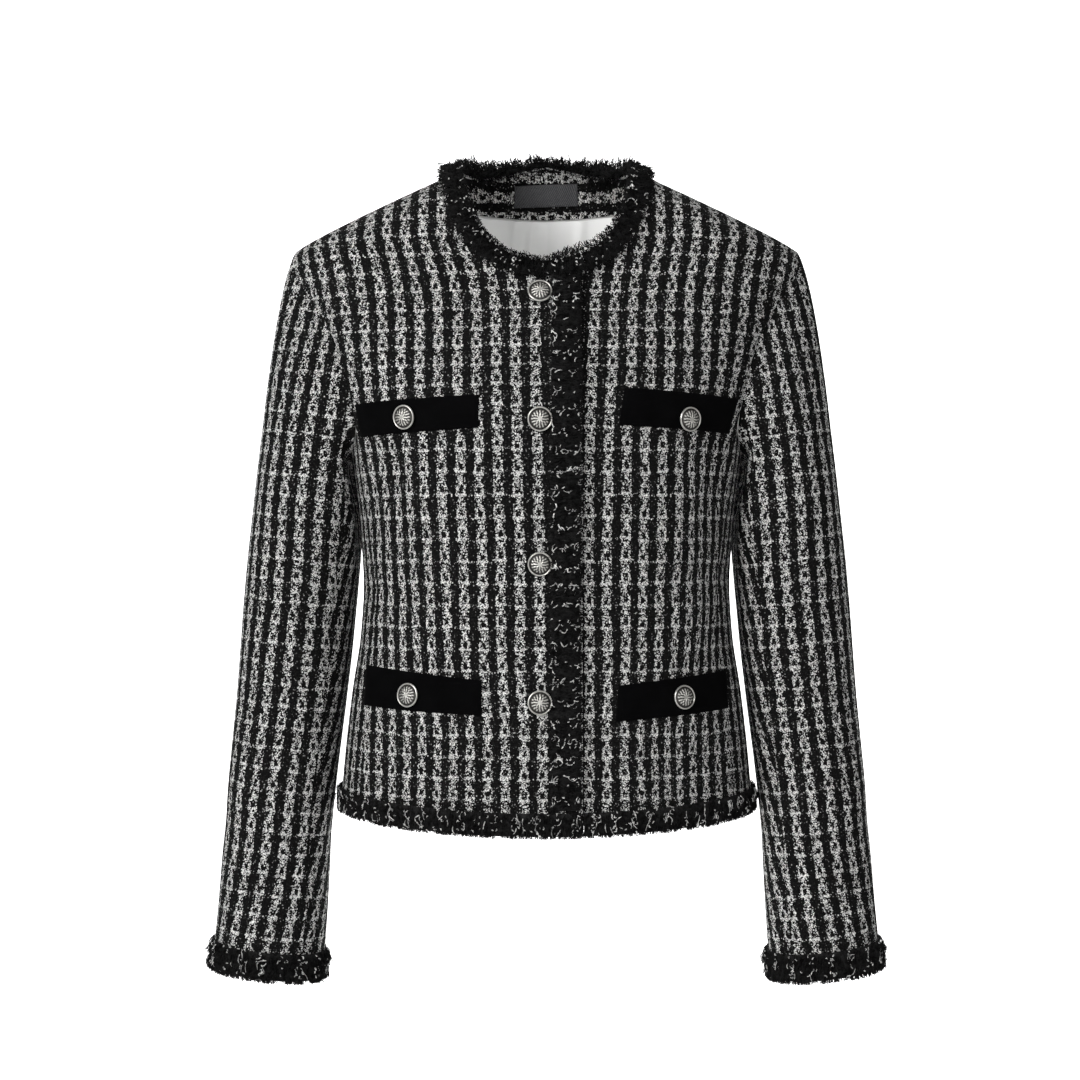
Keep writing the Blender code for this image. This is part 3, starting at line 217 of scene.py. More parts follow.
BODY_LEVELS = named_rows(BodyLevel, (
    (-0.52, 0.1665, 0.1165, 0.1165, 2.2),
    (-0.495, 0.164, 0.1155, 0.115, 2.2),
    (-0.455, 0.1605, 0.113, 0.112, 2.22),
    (-0.407, 0.155, 0.109, 0.105, 2.25),
    (-0.359, 0.148, 0.1055, 0.095, 2.28),
    (-0.323, 0.146, 0.106, 0.0925, 2.3),
    (-0.28, 0.1485, 0.113, 0.0965, 2.34),
    (-0.225, 0.1555, 0.125, 0.104, 2.4),
    (-0.19, 0.162, 0.1265, 0.1075, 2.4),
    (-0.147, 0.172, 0.119, 0.11, 2.38),
    (-0.115, 0.188, 0.108, 0.111, 2.32),
    (-0.082, 0.213, 0.094, 0.108, 2.25),
    (-0.05, 0.24, 0.0825, 0.1, 2.2),
    (-0.02, 0.26, 0.074, 0.09, 2.2),
    (0.02, 0.28, 0.066, 0.076, 2.2),
    (0.04, 0.285, 0.063, 0.07, 2.2),
))


@dataclass(frozen=True)
class BodyForm:
    """The smooth form that the cloth of the body lies on.

    It is a wall of rounded sections under a roof of two shoulder slopes.
    """

    shoulder_half_width: float = 0.197
    ridge_height: float = 0.0415
    ridge_slope: float = 0.46
    ridge_round: float = 0.033
    arch_at_neck: float = 0.2
    arch_at_tip: float = 0.062
    nape_lift: float = 0.24
    blend: float = 0.018
    scale: float = 0.11
    ridge_start: float = -0.075
    roof_steepness: float = 0.85
    probe: float = 1.0e-5
    longest_move: float = 0.01
    longest_ray: float = 0.4
    halvings: int = 36
    curves: Dict[str, SmoothCurve] = field(default_factory=lambda: {
        name: column(BODY_LEVELS, name) for name in BodyLevel._fields[1:]})

    def roof(self, x: Array, y: Array) -> Array:
        """Height of the shoulders over a point of the plan.

        Args:
            x: x values.
            y: y values.

        Returns:
            Heights.
        """
        share = np.clip(np.abs(x) / self.shoulder_half_width, 0.0, 1.1)
        radius = self.arch_at_neck + (self.arch_at_tip - self.arch_at_neck) * share
        nape = self.nape_lift * np.maximum(y, 0.0) * np.clip(1.0 - share, 0.0, 1.0) ** 2
        slope = self.ridge_slope * np.hypot(x, self.ridge_round)
        return self.ridge_height - slope - y * y / (2.0 * radius) + nape

    def reach(self, points: Array) -> Array:
        """0 on the form, less inside it and more outside.

        Args:
            points: Points to test.

        Returns:
            One value for each point, in about metres.
        """
        x, y, z = points[..., 0], points[..., 1], points[..., 2]
        half_width, front_depth, back_depth, power = (c(z) for c in self.curves.values())
        depth = np.where(y < 0.0, front_depth, back_depth)
        across = (np.abs(x) / half_width) ** power
        along = (np.abs(y) / depth) ** power
        wall = ((across + along) ** (1.0 / power) - 1.0) * self.scale
        roof = (z - self.roof(x, y)) * self.roof_steepness
        return 0.5 * (wall + roof + np.sqrt((wall - roof) ** 2 + self.blend ** 2))

    def slope(self, points: Array) -> Array:
        """Gradient of reach.

        Args:
            points: Where it is taken.

        Returns:
            One vector for each point.
        """
        parts = []
        for axis in range(3):
            shift = np.zeros(3)
            shift[axis] = self.probe
            change = self.reach(points + shift) - self.reach(points - shift)
            parts.append(change / (2.0 * self.probe))
        return np.stack(parts, axis=-1)

    def normals(self, points: Array) -> Array:
        """Outward directions at points on the form."""
        return unit(self.slope(points))

    def settle(self, points: Array, rounds: int = 14) -> Array:
        """Points moved onto the form along its own normals.

        Args:
            points: Points near the form.
            rounds: Newton steps.

        Returns:
            Points on the form.
        """
        points = np.array(points, float)
        for _ in range(rounds):
            slope = self.slope(points)
            size = np.sum(slope * slope, axis=-1, keepdims=True)
            move = -self.reach(points)[..., None] * slope / size
            length = np.linalg.norm(move, axis=-1, keepdims=True)
            points += move * np.minimum(1.0, self.longest_move / np.maximum(length, 1e-12))
        return points

    def cast(self, starts: Array, way: Sequence[float]) -> Array:
        """Points of the form met by rays from inside it.

        Args:
            starts: Points inside the form.
            way: Direction of the rays, or one for each start.

        Returns:
            Points on the form.
        """
        direction = np.asarray(way, float)
        near = np.zeros(starts.shape[:-1])
        far = np.full(starts.shape[:-1], self.longest_ray)
        for _ in range(self.halvings):
            middle = 0.5 * (near + far)
            inside = self.reach(starts + middle[..., None] * direction) < 0.0
            near = np.where(inside, middle, near)
            far = np.where(inside, far, middle)
        return starts + near[..., None] * direction

    def front(self, x: Array, z: Array) -> Array:
        """Points of the front, seen at (x, z)."""
        return self.cast(joined(x, 0.0, z), (0.0, -1.0, 0.0))

    def back(self, x: Array, z: Array) -> Array:
        """Points of the back, seen at (x, z)."""
        return self.cast(joined(x, 0.0, z), (0.0, 1.0, 0.0))

    def seen(self, face: Face) -> Callable[[Array, Array], Array]:
        """The way from (x, z) to points of the front or the back."""
        return self.front if face is Face.FRONT else self.back

    def side_x(self, y: Array, z: Array) -> Array:
        """x of the form at side-view points."""
        return self.cast(joined(0.0, y, z), (1.0, 0.0, 0.0))[..., 0]

    def ridge(self, x: Array) -> Array:
        """Points of the shoulder seam line."""
        return self.cast(joined(x, 0.0, self.ridge_start), (0.0, 0.0, 1.0))


FORM = BodyForm()


# ---------------- edge lines and panels
class EdgeRow(NamedTuple):
    """Depths of a front and a back edge line at one height, in side view."""

    height: float
    front: float
    back: float


ARMHOLE = named_rows(EdgeRow, (
    (-0.056, 0.0, 0.0),
    (-0.06, -0.015, 0.018),
    (-0.07, -0.027, 0.032),
    (-0.087, -0.037, 0.043),
    (-0.108, -0.0445, 0.051),
    (-0.132, -0.0505, 0.056),
    (-0.156, -0.056, 0.059),
    (-0.18, -0.06, 0.06),
    (-0.2, -0.058, 0.056),
    (-0.214, -0.0465, 0.045),
    (-0.222, -0.028, 0.028),
    (-0.225, 0.0, 0.0),
))
SIDE_SEAMS = named_rows(EdgeRow, (
    (-0.52, -0.06, 0.06),
    (-0.44, -0.058, 0.058),
    (-0.33, -0.052, 0.052),
    (-0.25, -0.056, 0.054),
    (-0.2, -0.058, 0.056),
))


@dataclass(frozen=True)
class Cut:
    """Edge lines of the body's pieces and the grids between them."""

    fine: int = 6
    lap_edge: float = 0.0265
    underlap_edge: float = 0.018
    lap_rise: float = 0.0018
    lap_drop: float = 0.0018
    hem_front: float = -0.499
    hem_side: float = -0.491
    hem_back: float = -0.495
    hem_half_width: float = 0.164
    neck_half_width: float = 0.066
    neck_front_height: float = -0.08
    neck_squareness: float = 2.3
    neck_back_depth: float = 0.064
    neck_back_squareness: float = 2.1
    side_seam_foot: float = 0.15
    side_seam_top: float = -0.2
    front_neck_columns: int = 7
    shoulder_columns: int = 6
    back_neck_columns: int = 4
    seam_rows: int = 9
    armhole_rows: int = 10
    underarm_columns: int = 4
    front_break_height: float = -0.215
    back_break_height: float = -0.205
    front_break_x: float = 0.078
    corner_ease: float = 0.05
    hem_ease: float = 0.03
    lap_band: Pair = (-0.06, -0.022)
    underlap_band: Pair = (0.03, 0.07)

    def hem_height(self, x: Array, middle: float) -> Array:
        """Height of the hem, which rises to the sides."""
        share = np.clip(np.abs(x) / self.hem_half_width, 0.0, 1.0) ** 2
        return middle + (self.hem_side - middle) * share

    def front_neckline(self, start_x: float, count: int) -> Array:
        """Front neckline out to the neck point.

        Args:
            start_x: Its first x, negative past the middle.
            count: Number of steps.

        Returns:
            Points on the form.
        """
        top = float(FORM.ridge(self.neck_half_width)[2])
        begin = math.asin(max(-1.0, min(1.0, start_x / self.neck_half_width)))
        x = self.neck_half_width * np.sin(np.linspace(begin, math.pi / 2.0, 400))
        share = np.clip(np.abs(x) / self.neck_half_width, 0.0, 1.0) ** self.neck_squareness
        z = top - (top - self.neck_front_height) * (1.0 - share) ** (1.0 / self.neck_squareness)
        points = FORM.front(x, z)
        points[-1] = FORM.ridge(self.neck_half_width)
        return even_points(points, count)

    def back_neckline(self, count: int) -> Array:
        """Back neckline from the centre back to the neck point.

        Args:
            count: Number of steps.

        Returns:
            Points on the form.
        """
        turn = np.linspace(0.0, math.pi / 2.0, 300)
        power = 2.0 / self.neck_back_squareness
        x = self.neck_half_width * np.sin(turn) ** power
        y = self.neck_back_depth * np.cos(turn) ** power
        points = FORM.cast(joined(x, y, FORM.ridge_start), (0.0, 0.0, 1.0))
        points[-1] = FORM.ridge(self.neck_half_width)
        return even_points(points, count)

    def shoulder_seam(self, count: int) -> Array:
        """Shoulder seam from the neck point to the tip."""
        x = np.linspace(self.neck_half_width, FORM.shoulder_half_width, 200)
        return even_points(FORM.ridge(x), count)

    def armhole_parts(self, face: Face) -> Tuple[Array, Array]:
        """One half of the armhole.

        Args:
            face: Front or back.

        Returns:
            The line from the side seam up to the tip, and from the underarm to the seam.
        """
        heights = np.array([row.height for row in ARMHOLE])
        depths = np.array([getattr(row, face.value) for row in ARMHOLE])
        lengths = running(np.hypot(np.diff(heights), np.diff(depths)))
        where = np.linspace(0.0, lengths[-1], 400)
        z = SmoothCurve(lengths, heights)(where)
        y = SmoothCurve(lengths, depths)(where)
        tip = FORM.ridge(FORM.shoulder_half_width)
        z += (tip[2] - z[0]) * (1.0 - smooth_step(where, 0.0, self.corner_ease))
        dense = joined(FORM.side_x(y, z), y, z)
        dense[0] = tip
        split = int(np.argmin(np.abs(dense[:, 2] - self.side_seam_top)))
        upper = even_points(dense[:split + 1][::-1], self.armhole_rows * self.fine)
        lower = even_points(dense[split:][::-1], self.underarm_columns * self.fine)
        return upper, lower

    def side_seam(self, face: Face, middle_hem: float, top_point: Array) -> Array:
        """A side seam from the hem up to the armhole.

        Args:
            face: Front or back.
            middle_hem: Height of that hem's middle.
            top_point: Where the seam ends.

        Returns:
            Points on the form.
        """
        line = column(SIDE_SEAMS, face.value)
        z = np.linspace(float(self.hem_height(self.side_seam_foot, middle_hem)), top_point[2], 200)
        y = line(z)
        y = y + (top_point[1] - y[-1]) * smooth_step(z, z[-1] - self.corner_ease, z[-1])
        points = joined(FORM.side_x(y, z), y, z)
        points[-1] = top_point
        return even_points(points, self.seam_rows * self.fine)

    def hem_line(self, start: float, end: Array, middle: float, count: int, face: Face) -> Array:
        """Hem from an x to a given point.

        Args:
            start: First x.
            end: Last point.
            middle: Height of the hem's middle.
            count: Number of steps.
            face: Front or back.

        Returns:
            Points on the form.
        """
        x = end[0] + (start - end[0]) * np.cos(np.linspace(0.0, math.pi / 2.0, 300))
        points = FORM.seen(face)(x, self.hem_height(x, middle))
        near = smooth_step(x, end[0] - self.hem_ease, end[0])
        points[:, 2] += (end[2] - points[-1, 2]) * near
        points[-1] = end
        return even_points(points, count)

    def heights(self, low: float, middle: float, high: float) -> Array:
        """Row heights on a centre line."""
        return np.concatenate([np.linspace(low, middle, self.seam_rows * self.fine + 1),
                               np.linspace(middle, high, self.armhole_rows * self.fine + 1)[1:]])

    def patch(self, bottom: Array, top: Array, left: Array, right: Array) -> Array:
        """Grid on the form between four edge lines.

        Args:
            bottom: Lower edge.
            top: Upper edge.
            left: First side.
            right: Second side.

        Returns:
            Grid of points; rows go up.
        """
        v = ramp(len(left) - 1)[:, None, None]
        u = ramp(len(bottom) - 1)[None, :, None]
        ruled = ((1 - v) * bottom[None] + v * top[None]
                 + (1 - u) * left[:, None] + u * right[:, None])
        corners = ((1 - u) * (1 - v) * bottom[0] + u * (1 - v) * bottom[-1]
                   + (1 - u) * v * top[0] + u * v * top[-1])
        grid = FORM.settle(ruled - corners)
        grid[0], grid[-1], grid[:, 0], grid[:, -1] = bottom, top, left, right
        return grid

    def front_grid(self, edge_x: float) -> Array:
        """Half of the front, on the wearer's left.

        Args:
            edge_x: x of its centre edge, negative past the middle.

        Returns:
            Grid of points.
        """
        upper, _ = self.armhole_parts(Face.FRONT)
        seam = self.side_seam(Face.FRONT, self.hem_front, upper[0])
        neck, shoulder = (n * self.fine for n in (self.front_neck_columns, self.shoulder_columns))
        top = np.concatenate([self.front_neckline(edge_x, neck), self.shoulder_seam(shoulder)[1:]])
        x = self.front_break_x
        turn = FORM.front(x, self.hem_height(x, self.hem_front))
        first = self.hem_line(edge_x, turn, self.hem_front, neck, Face.FRONT)
        second = self.hem_line(x, seam[0], self.hem_front, shoulder, Face.FRONT)
        bottom = np.concatenate([first, second[1:]])
        z = self.heights(bottom[0, 2], self.front_break_height, top[0, 2])
        left = FORM.front(np.full_like(z, edge_x), z)
        return self.patch(bottom, top, left, np.concatenate([seam, upper[1:]]))

    def back_grid(self) -> Array:
        """The whole back, from the wearer's right to the left.

        Returns:
            Grid of points.
        """
        upper, _ = self.armhole_parts(Face.BACK)
        seam = self.side_seam(Face.BACK, self.hem_back, upper[0])
        neck, shoulder = (n * self.fine for n in (self.back_neck_columns, self.shoulder_columns))
        top = np.concatenate([self.back_neckline(neck), self.shoulder_seam(shoulder)[1:]])
        bottom = self.hem_line(0.0, seam[0], self.hem_back, neck + shoulder, Face.BACK)
        z = self.heights(bottom[0, 2], self.back_break_height, top[0, 2])
        left = FORM.back(np.zeros_like(z), z)
        half = self.patch(bottom, top, left, np.concatenate([seam, upper[1:]]))
        return np.concatenate([mirrored(half)[:, ::-1][:, :-1], half], axis=1)

    def side_grid(self) -> Array:
        """The side body on the wearer's left, from the front seam to the back seam.

        Returns:
            Grid of points.
        """
        front_upper, front_lower = self.armhole_parts(Face.FRONT)
        back_upper, back_lower = self.armhole_parts(Face.BACK)
        left = self.side_seam(Face.FRONT, self.hem_front, front_upper[0])
        right = self.side_seam(Face.BACK, self.hem_back, back_upper[0])
        top = np.concatenate([front_lower[::-1], back_lower[1:]])
        y = np.linspace(left[0, 1], right[0, 1], 200)
        z = left[0, 2] + (right[0, 2] - left[0, 2]) * np.linspace(0.0, 1.0, 200)
        bottom = even_points(joined(FORM.side_x(y, z), y, z), len(top) - 1)
        bottom[0], bottom[-1] = left[0], right[0]
        return self.patch(bottom, top, left, right)

    def lap_offset(self, points: Array, side: Side) -> Array:
        """How far a front stands off the form near the closure.

        Args:
            points: Points of the front.
            side: The wearer's side; the right front laps over.

        Returns:
            One distance for each point.
        """
        if side is Side.RIGHT:
            return self.lap_rise * smooth_step(points[..., 0], *self.lap_band)
        return -self.lap_drop * (1.0 - smooth_step(points[..., 0], *self.underlap_band))


CUT = Cut()


# ---------------- the sleeve
class SleeveLevel(NamedTuple):
    """One level of the sleeve's outer face."""

    height: float
    centre_x: float
    centre_y: float
    half_width: float
    half_depth: float


SLEEVE_LEVELS = named_rows(SleeveLevel, (
    (-0.262, 0.187, 0.0, 0.046, 0.06),
    (-0.323, 0.1945, -0.001, 0.045, 0.0555),
    (-0.407, 0.2015, -0.003, 0.0442, 0.0515),
    (-0.503, 0.211, -0.011, 0.0428, 0.0455),
    (-0.57, 0.215, -0.018, 0.043, 0.041),
    (-0.614, 0.2182, -0.023, 0.0434, 0.039),
))


@dataclass(frozen=True)
class SleeveForm:
    """The sleeve on the wearer's left, as rings from the armhole to the cuff."""

    lean: float = 0.12
    squareness: float = 2.15
    clearance: float = 0.0034
    wall: float = 0.0018
    cap_rows: int = 5
    rows: int = 8
    tip_band: Pair = (-0.17, -0.062)
    under_band: Pair = (0.17, 0.205)
    start_reach: Pair = (0.03, 0.15)
    end_reach: Pair = (0.04, 0.2)
    sideways: float = 7.0
    cap_easing: float = 1.15
    below_band: Pair = (0.15, 0.215)
    body_reach: float = 0.115
    soft: float = 1.6e-5
    cap_soft: float = 4.0e-6
    curves: Dict[str, SmoothCurve] = field(default_factory=lambda: {
        name: column(SLEEVE_LEVELS, name) for name in SleeveLevel._fields[1:]})

    def ring(self, height: float, angles: Array) -> Array:
        """One ring of the outer face.

        Args:
            height: Its level.
            angles: 0 at the underarm, pi at the crown line.

        Returns:
            One point for each angle.
        """
        power = 2.0 / self.squareness
        cosine, sine = np.cos(angles), np.sin(angles)
        dx = -self.curves["half_width"](height) * np.sign(cosine) * np.abs(cosine) ** power
        x = self.curves["centre_x"](height) + dx
        depth = self.curves["half_depth"](height)
        y = self.curves["centre_y"](height) - depth * np.sign(sine) * np.abs(sine) ** power
        z = height + dx * self.lean
        limit = FORM.side_x(y, z) + self.clearance
        limit = np.where(np.abs(y) > self.body_reach, 0.0, limit)
        gap = x - limit
        x = limit + 0.5 * (gap + np.sqrt(gap * gap + self.soft))
        return joined(x, y, z)

    def grids(self) -> Tuple[Array, Array, int, int]:
        """Outer and inner grids; rows go down and columns go round.

        Returns:
            Outer grid, inner grid, and the columns of the front and back seams.
        """
        front_upper, front_lower = CUT.armhole_parts(Face.FRONT)
        back_upper, back_lower = CUT.armhole_parts(Face.BACK)
        ring = np.concatenate([front_lower, front_upper[1:], back_upper[::-1][1:],
                               back_lower[::-1][1:-1]])
        tip_index = len(front_lower) + len(front_upper) - 2
        lengths = arc_lengths(np.concatenate([ring, ring[:1]]))
        tip = lengths[tip_index]
        front = math.pi * lengths[:tip_index + 1] / tip
        back = math.pi + math.pi * (lengths[tip_index + 1:-1] - tip) / (lengths[-1] - tip)
        angles = np.concatenate([front, back])

        normals = FORM.normals(ring)
        tangents = unit(np.roll(ring, -1, axis=0) - np.roll(ring, 1, axis=0))
        away = unit(np.cross(tangents, normals))
        centre = ring.mean(axis=0)
        away *= -np.sign(np.sum(away * (ring - centre), axis=1, keepdims=True))
        start = SLEEVE_LEVELS[0].height
        first = self.ring(start, angles)
        down = unit(self.ring(start - 0.03, angles) - first)
        span = np.linalg.norm(first - ring, axis=1, keepdims=True)
        high = smooth_step(ring[:, 2:3], *self.tip_band)
        outward = np.array([1.0, 0.0, -0.35]) * (1.0 - high) + np.array([0.3, 0.0, -1.0]) * high
        sideways = np.array([0.0, 1.0, 0.0]) * (ring[:, 1:2] - centre[1]) * self.sideways
        leave = unit(0.25 * away + outward + sideways)
        start_pull = leave * np.clip(span * (0.85 - 0.33 * high), *self.start_reach)
        end_pull = down * np.clip(span * 1.1, *self.end_reach)

        rows = [ring]
        steps = self.cap_rows * CUT.fine
        for step in range(1, steps):
            t = (step / steps) ** self.cap_easing
            point = ((1 + 2 * t) * (1 - t) ** 2 * ring + t * t * (3 - 2 * t) * first
                     + t * (1 - t) ** 2 * start_pull + t * t * (t - 1) * end_pull)
            rows.append(self.clear_near_body(point, t))
        heights = np.linspace(start, SLEEVE_LEVELS[-1].height, self.rows * CUT.fine + 1)
        rows += [self.ring(height, angles) for height in heights]
        outer = np.stack(rows)
        outer = outer + self.facing(outer) * sleeve_creases(outer, angles)[..., None]
        facing = self.facing(outer)
        inner = outer - facing * self.wall
        under = smooth_step(-ring[:, 2:3], *self.under_band)
        inner[0] = ring - unit(facing[0] * under + normals) * self.wall
        count = CUT.underarm_columns * CUT.fine
        return outer, inner, count, outer.shape[1] - count

    @staticmethod
    def facing(outer: Array) -> Array:
        """Outward directions of a sleeve grid.

        Args:
            outer: The grid.

        Returns:
            Unit vectors.
        """
        around = np.roll(outer, -1, axis=1) - np.roll(outer, 1, axis=1)
        facing = unit(np.cross(around, np.gradient(outer, axis=0)))
        middle = outer.mean(axis=1, keepdims=True)
        return facing * np.sign(np.sum(facing * (outer - middle), axis=(1, 2)))[:, None, None]

    def clear_near_body(self, points: Array, share: float) -> Array:
        """Cap points kept off the body's side.

        Args:
            points: One ring of points.
            share: How far down the cap it is.

        Returns:
            Points clear of the body.
        """
        y, z = points[..., 1], points[..., 2]
        limit = FORM.side_x(y, z) + self.clearance * min(1.0, share * 2.0)
        below = smooth_step(-z, *self.below_band)
        gap = points[..., 0] - limit
        pushed = limit + 0.5 * (gap + np.sqrt(gap * gap + self.cap_soft))
        x = points[..., 0] + (np.maximum(pushed, points[..., 0]) - points[..., 0]) * below
        return joined(x, y, z)


class SleeveCrease(NamedTuple):
    """A soft trough or ridge across the sleeve."""

    height: float
    angle: float
    rise: float
    spread_height: float
    spread_angle: float
    tilt: float


SLEEVE_CREASES = named_rows(SleeveCrease, (
    (-0.3, 1.05, -0.0024, 0.01, 0.8, 0.02),
    (-0.345, 1.3, -0.003, 0.011, 0.9, 0.014),
    (-0.378, 1.15, 0.0016, 0.012, 0.75, 0.01),
    (-0.402, 1.4, -0.0026, 0.01, 0.85, -0.008),
    (-0.445, 1.1, -0.0018, 0.011, 0.7, -0.012),
    (-0.33, 5.0, -0.002, 0.013, 0.9, 0.012),
    (-0.39, 4.8, -0.0024, 0.012, 0.8, -0.006),
    (-0.52, 2.3, -0.0014, 0.02, 1.0, 0.018),
    (-0.225, 2.0, -0.0016, 0.016, 0.6, 0.03),
))


def sleeve_creases(outer: Array, angles: Array) -> Array:
    """How far creases move a sleeve's face.

    Args:
        outer: The grid of the outer face.
        angles: One angle for each column.

    Returns:
        One distance for each point, negative inward.
    """
    heights = outer[..., 2]
    total = np.zeros(heights.shape)
    for crease in SLEEVE_CREASES:
        turn = (angles - crease.angle + math.pi) % (2.0 * math.pi) - math.pi
        drop = heights - crease.height - crease.tilt * turn[None, :]
        total += (crease.rise * np.exp(-(drop / crease.spread_height) ** 2)
                  * np.exp(-(turn[None, :] / crease.spread_angle) ** 2))
    clear = smooth_step(np.abs((angles + math.pi) % (2.0 * math.pi) - math.pi), 0.3, 0.8)
    return total * clear[None, :]


class BodyCrease(NamedTuple):
    """A soft trough or ridge on the body, seen from the front or the back."""

    x: float
    height: float
    front: bool
    rise: float
    length: float
    width: float
    turn: float


BODY_CREASES = named_rows(BodyCrease, (
    (0.128, -0.215, True, -0.0026, 0.045, 0.01, 0.7),
    (-0.126, -0.222, True, -0.0022, 0.04, 0.01, 2.5),
    (0.118, -0.318, True, -0.0016, 0.05, 0.012, 0.12),
    (-0.112, -0.33, True, -0.0018, 0.046, 0.012, 3.02),
    (0.07, -0.335, True, -0.001, 0.04, 0.014, 0.05),
    (-0.06, -0.105, True, -0.0014, 0.05, 0.014, 1.95),
    (0.072, -0.1, True, -0.0016, 0.05, 0.014, 1.2),
    (0.1, -0.3, False, -0.0024, 0.07, 0.013, 0.25),
    (-0.095, -0.312, False, -0.0022, 0.065, 0.013, 2.85),
    (0.03, -0.34, False, -0.0016, 0.07, 0.012, 0.08),
    (0.12, -0.19, False, -0.0022, 0.06, 0.012, 1.15),
    (-0.118, -0.196, False, -0.0024, 0.06, 0.012, 2.0),
    (0.045, -0.06, False, -0.0012, 0.05, 0.012, 1.8),
))


def body_creases(points: Array) -> Array:
    """How far creases move the body's cloth.

    Args:
        points: Points on the form.

    Returns:
        One distance for each point, negative inward.
    """
    total = np.zeros(points.shape[:-1])
    for crease in BODY_CREASES:
        dx, dz = points[..., 0] - crease.x, points[..., 2] - crease.height
        along = dx * math.cos(crease.turn) + dz * math.sin(crease.turn)
        off = -dx * math.sin(crease.turn) + dz * math.cos(crease.turn)
        side = smooth_step(-points[..., 1] if crease.front else points[..., 1], 0.01, 0.04)
        total += (crease.rise * side * np.exp(-(along / crease.length) ** 2)
                  * np.exp(-(off / crease.width) ** 2))
    return total


# ---------------- cloth grain
class StripeRow(NamedTuple):
    """Distances of a front's stripes from the middle at one height, in millimetres."""

    height: float
    places: Tuple[float, ...]


RIGHT_STRIPES = named_rows(StripeRow, (
    (-0.49, (3.6, 16.8, 30.6, 43.6, 57.3, 70.5, 82.0, 94.2, 106.2, 116.7, 127.8, 137.7)),
    (-0.44, (3.2, 16.8, 30.6, 44.0, 57.0, 69.7, 81.6, 93.6, 105.2, 117.0, 127.7, 138.0)),
    (-0.375, (5.1, 20.0, 33.5, 46.8, 60.8, 73.6, 86.1, 97.9, 108.8, 118.5, 127.5, 135.6)),
    (-0.325, (5.4, 19.8, 34.5, 47.8, 62.2, 75.6, 88.7, 100.6, 110.2, 120.6, 128.3, 135.6)),
    (-0.29, (5.5, 20.0, 34.2, 48.1, 62.5, 76.7, 89.9, 102.0, 110.9, 121.1, 128.2, 135.4)),
    (-0.255, (6.6, 21.4, 35.8, 49.8, 63.8, 78.1, 92.2, 103.4, 111.6, 122.0, 130.0, 137.5)),
    (-0.215, (7.0, 21.7, 36.2, 50.4, 63.9, 77.9, 92.2, 105.2, 116.6, 128.4, 138.0, 146.5)),
    (-0.16, (8.5, 23.0, 37.5, 52.2, 66.2, 80.6, 94.8, 109.2, 123.2, 136.2, 148.6, 160.0)),
    (-0.12, (8.6, 23.5, 38.1, 52.3, 66.5, 80.9, 95.2, 109.9, 124.0, 138.4, 153.0, 166.0)),
    (-0.095, (11.0, 26.0, 40.4, 55.0, 69.5, 84.0, 98.4, 112.4, 126.2, 141.3, 156.4, 170.5)),
    (-0.055, (26.0, 40.8, 53.8, 67.0, 80.5, 94.4, 108.2, 122.2, 136.2, 151.0, 165.5, 180.0)),
))
LEFT_STRIPES = named_rows(StripeRow, (
    (-0.49, (31.6, 44.6, 58.2, 71.0, 81.0, 90.5, 99.8, 110.0, 121.0, 131.5, 141.0)),
    (-0.44, (31.8, 44.8, 57.4, 69.9, 80.4, 90.2, 99.0, 110.0, 120.2, 129.8, 138.6)),
    (-0.375, (32.3, 45.4, 59.2, 71.2, 83.7, 95.9, 105.9, 114.6, 121.1, 127.3, 133.8)),
    (-0.325, (31.6, 44.2, 59.3, 72.2, 85.3, 98.2, 109.2, 117.7, 123.8, 130.0, 135.6)),
    (-0.29, (31.3, 44.4, 59.1, 71.8, 86.0, 99.4, 109.8, 117.0, 123.9, 130.4, 136.6)),
    (-0.255, (31.4, 45.5, 59.1, 72.6, 85.6, 99.8, 109.5, 116.4, 123.2, 130.7, 137.8)),
    (-0.215, (31.6, 45.4, 58.8, 72.3, 86.0, 99.0, 109.5, 120.3, 129.6, 138.5, 146.5)),
    (-0.16, (33.4, 48.3, 62.6, 76.8, 91.0, 105.4, 118.9, 131.7, 143.6, 155.0, 165.0)),
    (-0.12, (35.5, 49.9, 63.7, 77.5, 92.0, 106.2, 120.2, 135.2, 149.4, 162.6, 175.0)),
    (-0.095, (37.4, 51.8, 65.7, 79.8, 94.3, 108.2, 122.3, 137.0, 151.9, 165.8, 179.0)),
    (-0.055, (44.4, 59.6, 73.0, 86.6, 100.4, 114.6, 129.0, 144.0, 159.0, 173.5, 187.5)),
))


class KnotRow(NamedTuple):
    """Height of one row of knots on the body, counted up from the hem."""

    height: float
    count: float


KNOT_ROWS = named_rows(KnotRow, (
    (-0.53, -3.2), (-0.4799, 0.0), (-0.4644, 1.0), (-0.4173, 4.0),
    (-0.3691, 7.0), (-0.3198, 10.0), (-0.2703, 13.0), (-0.22, 16.0),
    (-0.1722, 19.0), (-0.1145, 23.0), (-0.055, 27.0), (0.045, 33.7),
))


